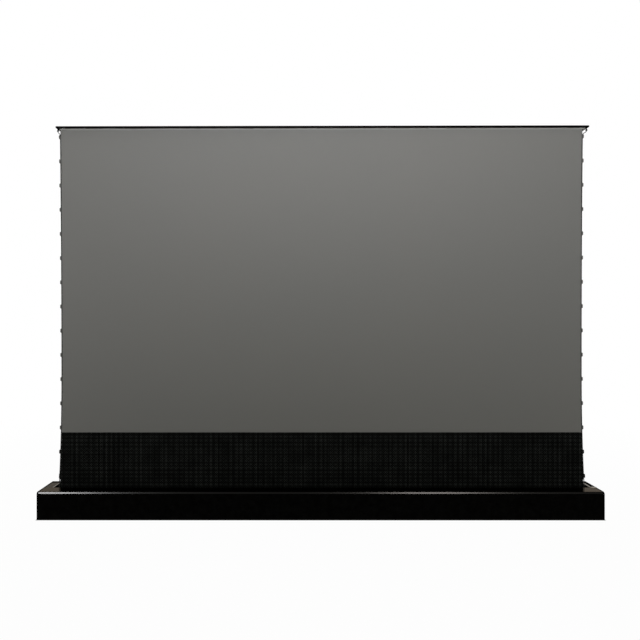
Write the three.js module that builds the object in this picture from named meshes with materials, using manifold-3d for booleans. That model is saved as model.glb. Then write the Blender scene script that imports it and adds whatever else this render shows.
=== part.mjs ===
// A motorised, tab tensioned, floor rising projection screen, raised.
// Millimetres, X to the right, Y away from the viewer, Z up.
// The origin lies on the floor, under the middle of the case.

import * as THREE from 'three';
import { mergeVertices } from 'three/addons/utils/BufferGeometryUtils.js';
import Module from 'manifold-3d';

const wasm = await Module();
wasm.setup();

// Driving dimensions of the whole object
const caseLength = 2344;
const caseDepth = 170;
const caseHeight = 115;
const raisedHeight = 1649; // top of the bar when the screen is up
const greyBottom = 345; // height of the seam between the grey fabric and the black drop
const gap = 0.3; // left between pieces that touch
const overrun = 4; // what a cut runs past the face that it starts from

// Case
const caseWall = 3;
const frontBevel = 5;
const coverWidth = 70; // top of the front cover, up to the slot
const rearLipWidth = 24;
const lipDrop = 8; // fold that stiffens both edges of the slot
const coverHook = 12; // upstand of the floor behind the front cover
const slotLeftMargin = 46; // from the left end of the case to the slot
const slotRightMargin = 30;
const footHeight = 3;
const footRadius = 15;
const footEndInset = 172;
const footSideInset = 25;

// Bar at the top
const barSideGap = 2; // round the bar when it closes the slot
const barThickness = 4;
const flangeHeight = 30;
const flangeThickness = 2.5;
const barCapThickness = 2.7;
const holderWidth = 8;
const holderDepth = 6;
const holderDrop = 13;
const battenDepth = 3;
const battenHeight = 7.5;
const battenEndInset = 14; // from the edge of the fabric

// Lift: two crossed arms, steered by four links of a quarter of their length
const armEndMargin = 49; // at both ends of the slot when the arms lie flat
const armHeight = 24;
const armThickness = 12;
const linkHeight = 18;
const linkThickness = 4;
const planeGap = 2; // between the planes that arms and links turn in
const liftFront = 9; // front face of the front links
const endPinRadius = 6;
const centrePinRadius = 6;
const linkPinRadius = 5;
const pinHeadThickness = 3.4;
const thinHeadThickness = 1.4; // where the fabric or a plane is close
const centreHeadRadius = 9;
const linkHeadRadius = 7;
const pivotBlockWidth = 40;
const pivotBlockHeight = 27;
const pivotBlockSideGap = 0.5;

// Rails and slide blocks
const railHeight = 30;
const railDepth = 13.2;
const railWall = 2.5;
const railLip = 4;
const railRunIn = 3; // of the rail past the slide block at both ends of its travel
const railRunOut = 15.6;
const blockLength = 44;
const pinTipLength = 0.8; // end pin past the arm

// Gas springs
const gasRadius = 7;
const gasPlugLength = 5;
const gasSaddleLength = 20;
const gasSaddleMargin = 3;
const gasRodRadius = 3.5;
const gasRailGap = 3;
const gasSetback = 6.6; // axis behind the front of the rails
const gasRodInset = 7; // inner end of the rod to the cylinder's own end

// Roller, motor and brackets
const rollerRadius = 25;
const rollerWall = 2;
const rollerDrop = 30; // axis below the guide rod's
const leaderThickness = 1.7; // black drop wound on the roller
const leaderEndInset = 6;
const bracketThickness = 5;
const bracketRim = 2; // above the guide rod
const bracketMargin = 3; // in front of the wound roller
const bracketFootLength = 18;
const rollerEndGap = 3;
const idlerShaftRadius = 5;
const idlerLength = 30;
const motorRadius = 19;
const motorLength = 520;
const motorFlangeRadius = 24;
const motorFlangeThickness = 2.4;
const motorSpigotRadius = 8;
const motorShaftRadius = 6;
const motorShaftLength = 24;
const driveWheelLength = 18;
const guideRodRadius = 5;
const guideRodDrop = 27; // below the top of the case

// Fabric, cords and tabs
const fabricPlane = 5;
const fabricThickness = 0.5;
const waistHeight = 611; // where the edges come closest
const waistInset = 21.2; // from the end of the bar in to the cord's outer side
const topFlare = 6;
const rollerFlare = 15;
const cordRadius = 1.5;
const cordBendDrop = 27; // below the bar, where the cord turns towards its holder
const cordShoulderDrop = 22;
const cordShoulderReach = 9; // from the holder's middle inwards
const tabHeight = 18;
const tabPitch = 103.4;
const topTabDrop = 35; // middle of the highest tab below the bar
const tabReach = 4.5; // past the cord
const hemWidth = 13;
const tabThickness = 1;
const hemEndInset = 15;

// Electrics
const controlLength = 150;
const controlDepth = 22;
const controlHeight = 54;
const controlEndInset = 172;
const inletWidth = 30;
const inletHeight = 24;
const inletDepth = 21;
const inletEndInset = 44;
const inletMiddleDrop = 58; // below the top of the case
const inletWall = 2;
const inletSocketDepth = 14;
const contactWidth = 2;
const contactHeight = 5;
const contactLength = 10;
const switchWidth = 22;
const switchHeight = 15;
const switchDepth = 16;
const switchGap = 12; // between inlet and switch
const switchWall = 1.6;
const switchWellDepth = 9;
const rockerThickness = 5;
const rockerEndGap = 0.8;
const rockerPivotDepth = 5;

// Counts, shares and angles
const tabCount = 15;
const roundSides = 16;
const rollerSides = 24;
const smallRoundSides = 8;
const cordSides = 8;
const cordSteps = 56;
const edgeSteps = 14;
const topFlarePower = 2;
const rollerFlarePower = 2.2;
const linkShare = 1 / 4;
const gasStartShare = 0.45; // fixed end of the gas springs, on the way from the middle to their mouths
const contactPlaceShares = [-1 / 4, 0, 1 / 4];
const contactLiftShares = [-1 / 6, 1 / 6, -1 / 6];
const rockerTilt = THREE.MathUtils.degToRad(-8);

// Worked out from the sizes above
const halfCase = caseLength / 2;
const caseFront = -caseDepth / 2;
const caseRear = caseDepth / 2;
const floorTop = footHeight + caseWall;
const guideRodHeight = caseHeight - guideRodDrop;
const rollerHeight = guideRodHeight - rollerDrop;
const bracketTop = guideRodHeight + guideRodRadius + bracketRim;
const inletMiddleHeight = caseHeight - inletMiddleDrop;
const slotFront = caseFront + coverWidth;
const slotRear = caseRear - rearLipWidth;
const slotLeft = -halfCase + slotLeftMargin;
const slotRight = halfCase - slotRightMargin;
const slotLength = slotRight - slotLeft;
const slotOffset = (slotLeft + slotRight) / 2;
const barHalf = slotLength / 2 - barSideGap;
const barPlateHalf = barHalf - barCapThickness - gap;
const barFront = slotFront + barSideGap;
const barRear = slotRear - barSideGap;
const barUnderside = raisedHeight - barThickness;
const lowerPivotHeight = floorTop + railHeight / 2;
const upperPivotHeight = barUnderside - railHeight / 2;
const armLength = slotLength - 2 * armEndMargin;
const raisedAngle = Math.asin((upperPivotHeight - lowerPivotHeight) / armLength);
const foldedRise = caseHeight - barThickness - railHeight / 2 - lowerPivotHeight;
const foldedReach = Math.sqrt(armLength ** 2 - foldedRise ** 2) / 2;
const linkLength = armLength * linkShare;
const quarterReach = linkLength * Math.cos(raisedAngle);
const quarterRise = linkLength * Math.sin(raisedAngle);
const endReach = (armLength / 2) * Math.cos(raisedAngle);
const railStart = endReach - blockLength / 2 - railRunIn;
const railEnd = foldedReach + blockLength / 2 + railRunOut;
const gasEnd = railStart - gasRailGap;
const gasStart = gasEnd * gasStartShare;
const centreHeight = (lowerPivotHeight + upperPivotHeight) / 2;
const waistHalfWidth = barHalf - waistInset;
const armAFront = liftFront + linkThickness + planeGap;
const armARear = armAFront + armThickness;
const armBFront = armARear + planeGap;
const armBRear = armBFront + armThickness;
const rearLinkFront = armBRear + planeGap;
const rearLinkRear = rearLinkFront + linkThickness;
const railRear = rearLinkFront + railDepth;
const rollerMiddle = fabricPlane - fabricThickness / 2 - gap - leaderThickness - rollerRadius;
const rollerLeft = slotLeft + bracketThickness + rollerEndGap;
const rollerRight = slotRight - bracketThickness - rollerEndGap;
const rollerInner = rollerRadius - rollerWall;
const fabricFront = fabricPlane - fabricThickness / 2;
const fabricRear = fabricPlane + fabricThickness / 2;
const edgeWidth = 2 * cordRadius + gap; // from the cord's outer side in to the fabric
const coverBack = caseFront + caseWall + gap;
const profileHalf = halfCase - caseWall - gap;
const gasAxisHeight = floorTop + gap + gasRadius;
const gasAxisDepth = rearLinkFront + gasSetback;
const bracketFront = rollerMiddle - rollerRadius - leaderThickness - bracketMargin;
const bracketRear = fabricFront - gap;
const holderMiddle = barHalf - holderWidth / 2;

// Finishes
function finish(colour, roughness, metalness) {
  return new THREE.MeshStandardMaterial({ color: colour, roughness, metalness });
}

const blackAluminium = finish(0x08080a, 0.34, 0.6);
const bareAluminium = finish(0x9a9ca0, 0.4, 0.9);
const zincSteel = finish(0xa9adb2, 0.35, 1);
const blackPlastic = finish(0x101012, 0.55, 0);
const acetal = finish(0xd9d8d2, 0.5, 0);
const footRubber = finish(0x0c0c0c, 0.9, 0);
const greyFabric = finish(0x6a6b69, 0.9, 0);
const blackFabric = finish(0x0b0b0b, 0.95, 0);
const blackCord = finish(0x151515, 0.85, 0);
const gasBlack = finish(0x131315, 0.3, 0.2);

// Shapes: every piece starts as one of these closed solids
function toSolid(geometry) {
  geometry.deleteAttribute('normal');
  geometry.deleteAttribute('uv');
  const merged = mergeVertices(geometry);
  return new wasm.Manifold(new wasm.Mesh({
    numProp: 3,
    vertProperties: new Float32Array(merged.attributes.position.array),
    triVerts: new Uint32Array(merged.index.array),
  }));
}

function toGeometry(solid) {
  const { vertProperties, triVerts } = solid.getMesh();
  const geometry = new THREE.BufferGeometry();
  geometry.setAttribute('position', new THREE.BufferAttribute(new Float32Array(vertProperties), 3));
  geometry.setIndex(new THREE.BufferAttribute(new Uint32Array(triVerts), 1));
  geometry.computeVertexNormals();
  return geometry;
}

function block(x0, x1, y0, y1, z0, z1) {
  const geometry = new THREE.BoxGeometry(x1 - x0, y1 - y0, z1 - z0);
  return toSolid(geometry.translate((x0 + x1) / 2, (y0 + y1) / 2, (z0 + z1) / 2));
}

function outlineShape(points) {
  return new THREE.Shape(points.map(([u, v]) => new THREE.Vector2(u, v)));
}

// An outline in Y and Z, drawn out along X
function extrudeAlongX(points, x0, x1) {
  const geometry = new THREE.ExtrudeGeometry(outlineShape(points), { depth: x1 - x0, bevelEnabled: false });
  const turn = new THREE.Matrix4().set(0, 0, 1, x0, 1, 0, 0, 0, 0, 1, 0, 0, 0, 0, 0, 1);
  return toSolid(geometry.applyMatrix4(turn));
}

// A shape in X and Z, drawn out along Y
function extrudeAlongY(shape, y0, y1) {
  const settings = { depth: y1 - y0, bevelEnabled: false, curveSegments: smallRoundSides };
  const turn = new THREE.Matrix4().set(1, 0, 0, 0, 0, 0, -1, y1, 0, 1, 0, 0, 0, 0, 0, 1);
  return toSolid(new THREE.ExtrudeGeometry(shape, settings).applyMatrix4(turn));
}

function rodAlongX(radius, y, z, x0, x1, sides = roundSides) {
  const geometry = new THREE.CylinderGeometry(radius, radius, x1 - x0, sides);
  return toSolid(geometry.rotateZ(Math.PI / 2).translate((x0 + x1) / 2, y, z));
}

function rodAlongY(radius, x, z, y0, y1, sides = roundSides) {
  const geometry = new THREE.CylinderGeometry(radius, radius, y1 - y0, sides);
  return toSolid(geometry.translate(x, (y0 + y1) / 2, z));
}

function rodAlongZ(radius, x, y, z0, z1, sides = roundSides) {
  const geometry = new THREE.CylinderGeometry(radius, radius, z1 - z0, sides);
  return toSolid(geometry.rotateX(Math.PI / 2).translate(x, y, (z0 + z1) / 2));
}

const screen = new THREE.Group();

function place(name, solid, material, parent = screen) {
  const mesh = new THREE.Mesh(toGeometry(solid), material);
  mesh.name = name;
  parent.add(mesh);
}

// Both ends and sides are worked out from the middle of the slot: side is -1 at the left, 1 at the right
const sides = [['left', -1], ['right', 1]];

function spanX(side, from, to) {
  const ends = [slotOffset + side * from, slotOffset + side * to];
  return [Math.min(...ends), Math.max(...ends)];
}

// Case
function buildCase() {
  const lipBottom = caseHeight - caseWall - lipDrop;
  const hookRear = coverBack + caseWall;
  const base = extrudeAlongX([
    [coverBack, footHeight], [caseRear, footHeight], [caseRear, caseHeight], [slotRear, caseHeight],
    [slotRear, lipBottom], [slotRear + caseWall, lipBottom], [slotRear + caseWall, caseHeight - caseWall],
    [caseRear - caseWall, caseHeight - caseWall], [caseRear - caseWall, floorTop], [hookRear, floorTop],
    [hookRear, floorTop + coverHook], [coverBack, floorTop + coverHook],
  ], -profileHalf, profileHalf);
  place('base_profile', base.subtract(inletOpening()).subtract(switchOpening()), blackAluminium);

  const mitre = caseWall * Math.tan(Math.PI / 8);
  place('front_cover', extrudeAlongX([
    [caseFront, footHeight], [caseFront, caseHeight - frontBevel], [caseFront + frontBevel, caseHeight],
    [slotFront, caseHeight], [slotFront, lipBottom], [slotFront - caseWall, lipBottom],
    [slotFront - caseWall, caseHeight - caseWall], [caseFront + frontBevel + mitre, caseHeight - caseWall],
    [caseFront + caseWall, caseHeight - frontBevel - mitre], [caseFront + caseWall, footHeight],
  ], -profileHalf, profileHalf), blackAluminium);

  for (const [name, side] of sides) {
    const slotEnd = side < 0 ? slotLeft : slotRight;
    const outer = [side * halfCase, side * (halfCase - caseWall)].sort((a, b) => a - b);
    const wall = extrudeAlongX([
      [caseFront, footHeight], [caseRear, footHeight], [caseRear, caseHeight],
      [caseFront + frontBevel, caseHeight], [caseFront, caseHeight - frontBevel],
    ], ...outer);
    const tongueEnds = [side * halfCase, slotEnd].sort((a, b) => a - b);
    const lipEnds = [slotEnd, slotEnd + side * caseWall].sort((a, b) => a - b);
    const across = [slotFront + gap, slotRear - gap];
    const tongue = block(...tongueEnds, ...across, caseHeight - caseWall, caseHeight);
    const lip = block(...lipEnds, ...across, lipBottom, caseHeight);
    place(`end_cap_${name}`, wall.add(tongue).add(lip), blackPlastic);

    for (const [row, depthSide] of [['front', -1], ['rear', 1]]) {
      const x = side * (halfCase - footEndInset);
      const y = depthSide * (caseDepth / 2 - footSideInset);
      place(`foot_${row}_${name}`, rodAlongZ(footRadius, x, y, 0, footHeight), footRubber);
    }
  }
}

// Power inlet and switch in the rear wall, control box inside the front cover
const inletLeft = -halfCase + inletEndInset;
const inletRight = inletLeft + inletWidth;
const inletBottom = inletMiddleHeight - inletHeight / 2;
const inletTop = inletMiddleHeight + inletHeight / 2;
const switchLeft = inletRight + switchGap;
const switchRight = switchLeft + switchWidth;
const switchBottom = inletMiddleHeight - switchHeight / 2;
const switchTop = inletMiddleHeight + switchHeight / 2;

function rearOpening(left, right, bottom, top) {
  const y = [caseRear - caseWall - overrun, caseRear + overrun];
  return block(left - gap, right + gap, ...y, bottom - gap, top + gap);
}

function inletOpening() {
  return rearOpening(inletLeft, inletRight, inletBottom, inletTop);
}

function switchOpening() {
  return rearOpening(switchLeft, switchRight, switchBottom, switchTop);
}

function buildElectrics() {
  const socketFloor = caseRear - inletSocketDepth;
  let inlet = block(inletLeft, inletRight, caseRear - inletDepth, caseRear, inletBottom, inletTop);
  inlet = inlet.subtract(block(
    inletLeft + inletWall, inletRight - inletWall, socketFloor, caseRear + overrun,
    inletBottom + inletWall, inletTop - inletWall,
  ));
  contactPlaceShares.forEach((placeShare, i) => {
    const x = (inletLeft + inletRight) / 2 + placeShare * inletWidth;
    const z = inletMiddleHeight + contactLiftShares[i] * inletHeight;
    inlet = inlet.add(block(
      x - contactWidth / 2, x + contactWidth / 2, socketFloor - inletWall, socketFloor + contactLength,
      z - contactHeight / 2, z + contactHeight / 2,
    ));
  });
  place('power_inlet', inlet, blackPlastic);

  const housing = block(switchLeft, switchRight, caseRear - switchDepth, caseRear, switchBottom, switchTop);
  const well = block(
    switchLeft + switchWall, switchRight - switchWall, caseRear - switchWellDepth, caseRear + overrun,
    switchBottom + switchWall, switchTop - switchWall,
  );
  place('switch_housing', housing.subtract(well), blackPlastic);

  const rockerHalfWidth = switchWidth / 2 - switchWall - gap;
  const rockerHalfHeight = switchHeight / 2 - switchWall - rockerEndGap;
  const rockerPivot = new THREE.Group();
  rockerPivot.position.set((switchLeft + switchRight) / 2, caseRear - rockerPivotDepth, inletMiddleHeight);
  rockerPivot.rotation.x = rockerTilt;
  place('switch_rocker', extrudeAlongX([
    [-rockerThickness / 2, -rockerHalfHeight], [rockerThickness / 2, -rockerHalfHeight],
    [rockerThickness / 4, 0], [rockerThickness / 2, rockerHalfHeight],
    [-rockerThickness / 2, rockerHalfHeight],
  ], -rockerHalfWidth, rockerHalfWidth), blackPlastic, rockerPivot);
  screen.add(rockerPivot);

  const controlLeft = -halfCase + controlEndInset;
  const controlFront = coverBack + caseWall + gap;
  place('control_box', block(
    controlLeft, controlLeft + controlLength, controlFront, controlFront + controlDepth,
    floorTop, floorTop + controlHeight,
  ), blackPlastic);
}

// Roller with its motor, brackets and guide rod
function buildRoller() {
  const leaderRadius = rollerRadius + leaderThickness;
  const roller = (radius, from, to, count = rollerSides) => (
    rodAlongX(radius, rollerMiddle, rollerHeight, from, to, count)
  );
  place('roller_tube', roller(rollerRadius, rollerLeft, rollerRight)
    .subtract(roller(rollerInner, rollerLeft - overrun, rollerRight + overrun)), bareAluminium);
  const leaderLeft = rollerLeft + leaderEndInset;
  const leaderRight = rollerRight - leaderEndInset;
  place('wound_leader', roller(leaderRadius, leaderLeft, leaderRight)
    .subtract(roller(rollerRadius + gap, leaderLeft - overrun, leaderRight + overrun)), blackFabric);
  place('idler_plug', roller(rollerInner - gap, rollerLeft, rollerLeft + idlerLength)
    .add(roller(idlerShaftRadius, slotLeft, rollerLeft + idlerLength, roundSides)), acetal);

  const motorLeft = rollerRight - motorLength;
  const shaftLeft = motorLeft - motorShaftLength;
  const flangeLeft = rollerRight + gap;
  place('tubular_motor', roller(motorRadius, motorLeft, flangeLeft + motorFlangeThickness)
    .add(roller(motorFlangeRadius, flangeLeft, flangeLeft + motorFlangeThickness))
    .add(roller(motorSpigotRadius, flangeLeft, slotRight, roundSides))
    .add(roller(motorShaftRadius, shaftLeft, motorLeft + motorShaftLength, roundSides)), gasBlack);
  const wheelLeft = (shaftLeft + motorLeft - driveWheelLength) / 2;
  place('drive_wheel', roller(rollerInner - gap, wheelLeft, wheelLeft + driveWheelLength)
    .subtract(roller(motorShaftRadius + gap, shaftLeft - overrun, motorLeft, roundSides)), acetal);

  const holes = { left: idlerShaftRadius, right: motorSpigotRadius };
  for (const [name, side] of sides) {
    const outer = side < 0 ? slotLeft : slotRight;
    const ends = [outer, outer - side * bracketThickness].sort((a, b) => a - b);
    const footEnds = [outer - side * bracketThickness, outer + side * bracketFootLength];
    footEnds.sort((a, b) => a - b);
    const plate = block(...ends, bracketFront, bracketRear, floorTop, bracketTop)
      .add(block(...footEnds, bracketFront, bracketRear, floorTop, floorTop + caseWall));
    const hole = roller(holes[name] + gap, ends[0] - overrun, ends[1] + overrun, roundSides);
    place(`roller_bracket_${name}`, plate.subtract(hole), zincSteel);
  }
  const rodMiddle = fabricPlane - cordRadius - gap - guideRodRadius;
  const rodEndGap = bracketThickness + gap;
  place('guide_rod', rodAlongX(
    guideRodRadius, rodMiddle, guideRodHeight, slotLeft + rodEndGap, slotRight - rodEndGap,
  ), bareAluminium);
}

// Lift
function stadium(length, height) {
  const shape = new THREE.Shape();
  shape.absarc(0, 0, height / 2, Math.PI / 2, 3 * Math.PI / 2);
  shape.absarc(length, 0, height / 2, -Math.PI / 2, Math.PI / 2);
  shape.closePath();
  return shape;
}

function drill(shape, x, radius) {
  const hole = new THREE.Path();
  hole.absarc(x, 0, radius + gap, 0, 2 * Math.PI);
  shape.holes.push(hole);
}

// A group whose own X axis runs from a pivot at the given angle above the X axis
function turned(x, z, angle) {
  const group = new THREE.Group();
  group.position.set(x, 0, z);
  group.rotation.y = -angle;
  screen.add(group);
  return group;
}

function buildArm(name, side, front) {
  const shape = stadium(armLength, armHeight);
  drill(shape, 0, endPinRadius);
  drill(shape, linkLength, linkPinRadius);
  drill(shape, armLength / 2, centrePinRadius);
  drill(shape, armLength - linkLength, linkPinRadius);
  drill(shape, armLength, endPinRadius);
  const angle = side < 0 ? raisedAngle : Math.PI - raisedAngle;
  const group = turned(slotOffset + side * endReach, lowerPivotHeight, angle);
  place(name, extrudeAlongY(shape, front, front + armThickness), blackAluminium, group);
}

function buildLink(name, side, upper, front) {
  const shape = stadium(linkLength, linkHeight);
  drill(shape, 0, linkPinRadius);
  drill(shape, linkLength, linkPinRadius);
  const angle = side < 0 ? Math.PI - raisedAngle : raisedAngle;
  const pivotHeight = upper ? upperPivotHeight : lowerPivotHeight;
  const group = turned(slotOffset, pivotHeight, upper ? -angle : angle);
  place(name, extrudeAlongY(shape, front, front + linkThickness), zincSteel, group);
}

// A pin along Y with a head at each end, round the pieces from front to rear
function headedPin(radius, headRadius, x, z, front, rear, frontHead, rearHead) {
  const tip = front - gap - frontHead;
  const tail = rear + gap + rearHead;
  return rodAlongY(radius, x, z, tip, tail)
    .add(rodAlongY(headRadius, x, z, tip, front - gap))
    .add(rodAlongY(headRadius, x, z, rear + gap, tail));
}

function buildPins() {
  const heads = [pinHeadThickness, pinHeadThickness];
  place('centre_pin', headedPin(
    centrePinRadius, centreHeadRadius, slotOffset, centreHeight, armAFront, armBRear, ...heads,
  ), zincSteel);
  const levels = [['lower', lowerPivotHeight, 1], ['upper', upperPivotHeight, -1]];
  for (const [level, heightFrom, direction] of levels) {
    const quarterHeight = heightFrom + direction * quarterRise;
    // the front links meet the front arm, the rear links meet the rear arm
    const frontSide = -direction;
    place(`${level}_front_link_pin`, headedPin(
      linkPinRadius, linkHeadRadius, slotOffset + frontSide * quarterReach, quarterHeight,
      liftFront, armARear, thinHeadThickness, pinHeadThickness,
    ), zincSteel);
    place(`${level}_rear_link_pin`, headedPin(
      linkPinRadius, linkHeadRadius, slotOffset - frontSide * quarterReach, quarterHeight,
      armBFront, rearLinkRear, ...heads,
    ), zincSteel);
    place(`${level}_pivot_pin`, headedPin(
      linkPinRadius, linkHeadRadius, slotOffset, heightFrom,
      liftFront, rearLinkRear, thinHeadThickness, pinHeadThickness,
    ), zincSteel);

    const seat = level === 'lower' ? floorTop : barUnderside;
    const seatEnds = [seat, seat + direction * pivotBlockHeight].sort((a, b) => a - b);
    const blockFront = armAFront - pivotBlockSideGap;
    const blockRear = armBRear + pivotBlockSideGap;
    const holeEnds = [blockFront - overrun, blockRear + overrun];
    const hole = rodAlongY(linkPinRadius + gap, slotOffset, heightFrom, ...holeEnds);
    place(`${level}_pivot_block`, block(
      slotOffset - pivotBlockWidth / 2, slotOffset + pivotBlockWidth / 2, blockFront, blockRear, ...seatEnds,
    ).subtract(hole), blackAluminium);
  }
}

function buildRail(name, side, bottom) {
  const top = bottom + railHeight;
  const front = rearLinkFront;
  const mouth = railWall + railLip;
  const rail = extrudeAlongX([
    [front, bottom], [railRear, bottom], [railRear, top], [front, top], [front, top - mouth],
    [front + railWall, top - mouth], [front + railWall, top - railWall],
    [railRear - railWall, top - railWall],
    [railRear - railWall, bottom + railWall], [front + railWall, bottom + railWall],
    [front + railWall, bottom + mouth], [front, bottom + mouth],
  ], ...spanX(side, railStart, railEnd));
  place(name, rail, bareAluminium);
}

function buildSlideBlock(name, side, height, armFront) {
  const slack = railWall + gap;
  const halfHeight = railHeight / 2 - slack;
  const ends = spanX(side, endReach - blockLength / 2, endReach + blockLength / 2);
  const front = rearLinkFront + slack;
  const rear = railRear - slack;
  const shoe = block(...ends, front, rear, height - halfHeight, height + halfHeight);
  const studEnds = [armFront - pinTipLength, rear - slack];
  const stud = rodAlongY(endPinRadius, slotOffset + side * endReach, height, ...studEnds);
  place(name, shoe.add(stud), acetal);
}

function buildGasSpring(name, side) {
  const bore = gasRodRadius + gap;
  const rodStart = gasStart + gasRodInset;
  const rodEnd = endReach - blockLength / 2 - gap;
  const along = (radius, from, to) => (
    rodAlongX(radius, gasAxisDepth, gasAxisHeight, ...spanX(side, from, to))
  );
  const saddle = block(
    ...spanX(side, gasStart, gasStart + gasSaddleLength),
    gasAxisDepth - gasRadius - gasSaddleMargin, gasAxisDepth + gasRadius + gasSaddleMargin,
    floorTop, gasAxisHeight,
  );
  place(`gas_cylinder_${name}`, along(gasRadius, gasStart, gasEnd).add(saddle)
    .subtract(along(bore, gasStart + gasPlugLength, gasEnd + overrun)), gasBlack);
  place(`gas_rod_${name}`, along(gasRodRadius, rodStart, rodEnd), zincSteel);
}

function buildLift() {
  buildArm('front_arm', -1, armAFront);
  buildArm('rear_arm', 1, armBFront);
  buildLink('lower_front_link', -1, false, liftFront);
  buildLink('lower_rear_link', 1, false, rearLinkFront);
  buildLink('upper_front_link', 1, true, liftFront);
  buildLink('upper_rear_link', -1, true, rearLinkFront);
  buildPins();
  for (const [name, side] of sides) {
    // the front arm rises from the left to the right, the rear arm from the right to the left
    const lowerArm = side < 0 ? armAFront : armBFront;
    const upperArm = side < 0 ? armBFront : armAFront;
    buildRail(`lower_rail_${name}`, side, floorTop);
    buildRail(`upper_rail_${name}`, side, barUnderside - railHeight);
    buildSlideBlock(`lower_slide_block_${name}`, side, lowerPivotHeight, lowerArm);
    buildSlideBlock(`upper_slide_block_${name}`, side, upperPivotHeight, upperArm);
    buildGasSpring(name, side);
  }
}

// Bar with its end caps and cord holders, and the batten behind the top of the fabric
function buildBar() {
  const plateEnds = spanX(1, -barPlateHalf, barPlateHalf);
  const flangeFront = barRear - flangeThickness;
  const flangeBottom = barUnderside - flangeHeight;
  place('top_bar', extrudeAlongX([
    [barFront, barUnderside], [flangeFront, barUnderside], [flangeFront, flangeBottom],
    [barRear, flangeBottom], [barRear, raisedHeight], [barFront, raisedHeight],
  ], ...plateEnds), blackAluminium);
  for (const [name, side] of sides) {
    const capEnds = spanX(side, barHalf - barCapThickness, barHalf);
    const cap = extrudeAlongX([
      [barFront, barUnderside], [flangeFront, barUnderside], [flangeFront, flangeBottom],
      [barRear, flangeBottom], [barRear, raisedHeight], [barFront, raisedHeight],
    ], ...capEnds);
    const holderFront = fabricPlane - holderDepth / 2;
    const holderRear = fabricPlane + holderDepth / 2;
    const holderBottom = barUnderside - holderDrop;
    const holder = block(
      ...spanX(side, barHalf - holderWidth, barHalf),
      holderFront, holderRear, holderBottom, barUnderside - gap,
    ).add(block(...capEnds, holderFront, holderRear, holderBottom, barUnderside + barThickness / 2));
    place(`bar_cap_${name}`, cap.add(holder), blackPlastic);
  }
  const battenHalf = halfWidthAt(barUnderside) - edgeWidth - battenEndInset;
  const battenFront = fabricRear + gap;
  place('fabric_batten', block(
    ...spanX(1, -battenHalf, battenHalf), battenFront, battenFront + battenDepth,
    barUnderside - battenHeight, barUnderside,
  ), bareAluminium);
}

// Half the width of the screen, out to the cords: narrowest at the waist, flared to the bar and the roller
function halfWidthAt(height) {
  if (height > waistHeight) {
    const share = (height - waistHeight) / (barUnderside - waistHeight);
    return waistHalfWidth + topFlare * share ** topFlarePower;
  }
  const share = (waistHeight - height) / (waistHeight - rollerHeight);
  return waistHalfWidth + rollerFlare * share ** rollerFlarePower;
}

function heights(from, to) {
  return Array.from({ length: edgeSteps + 1 }, (_, i) => from + (to - from) * i / edgeSteps);
}

function clothOutline(bottom, top) {
  const levels = heights(bottom, top);
  const edge = (side, z) => [slotOffset + side * (halfWidthAt(z) - edgeWidth), z];
  return outlineShape([...levels.map((z) => edge(1, z)), ...levels.reverse().map((z) => edge(-1, z))]);
}

function buildCord(name, side) {
  const bend = barUnderside - cordBendDrop;
  const levels = [...heights(rollerHeight, bend - cordShoulderReach), bend];
  const route = levels.map((z) => [halfWidthAt(z) - cordRadius, z]);
  route.push([holderMiddle - cordShoulderReach, barUnderside - cordShoulderDrop]);
  // its slanted end just clears the holder
  route.push([holderMiddle, barUnderside - holderDrop - cordRadius]);
  const points = route.map(([reach, z]) => new THREE.Vector3(slotOffset + side * reach, fabricPlane, z));
  const section = new THREE.Shape();
  section.absarc(0, 0, cordRadius, 0, 2 * Math.PI);
  place(name, toSolid(new THREE.ExtrudeGeometry(section, {
    steps: cordSteps, curveSegments: cordSides / 2, bevelEnabled: false,
    extrudePath: new THREE.CatmullRomCurve3(points, false, 'centripetal'),
  })), blackCord);
}

// A hem behind the edge of the cloth, with tabs that reach round the back of the cord
function buildTabs(name, side) {
  const hemFront = fabricRear + gap;
  const tabFront = fabricPlane + cordRadius + gap;
  const top = barUnderside - hemEndInset;
  const bottom = barUnderside - topTabDrop - tabPitch * (tabCount - 1) - hemEndInset;
  const levels = heights(bottom, top);
  const at = (inset, z) => [slotOffset + side * (halfWidthAt(z) - edgeWidth - inset), z];
  let strip = extrudeAlongY(outlineShape([
    ...levels.map((z) => at(gap, z)), ...levels.reverse().map((z) => at(hemWidth, z)),
  ]), hemFront, tabFront + gap);
  for (let i = 0; i < tabCount; i += 1) {
    const z = barUnderside - topTabDrop - tabPitch * i;
    const reach = halfWidthAt(z);
    strip = strip.add(block(
      ...spanX(side, reach - edgeWidth - hemWidth, reach + tabReach), tabFront, tabFront + tabThickness,
      z - tabHeight / 2, z + tabHeight / 2,
    ));
  }
  place(name, strip, blackFabric);
}

function buildCloth() {
  const front = fabricFront;
  const rear = fabricRear;
  const greyOutline = clothOutline(greyBottom, barUnderside - gap);
  const blackOutline = clothOutline(rollerHeight, greyBottom - gap);
  place('projection_fabric', extrudeAlongY(greyOutline, front, rear), greyFabric);
  place('black_drop', extrudeAlongY(blackOutline, front, rear), blackFabric);
  for (const [name, side] of sides) {
    buildCord(`tension_cord_${name}`, side);
    buildTabs(`tab_strip_${name}`, side);
  }
}

buildCase();
buildElectrics();
buildRoller();
buildLift();
buildBar();
buildCloth();

export default screen;
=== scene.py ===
# Floor rising projection screen: grey tab tensioned fabric over a long black case
import math

import bpy
from mathutils import Matrix, Vector
from mathutils.geometry import tessellate_polygon


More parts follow.
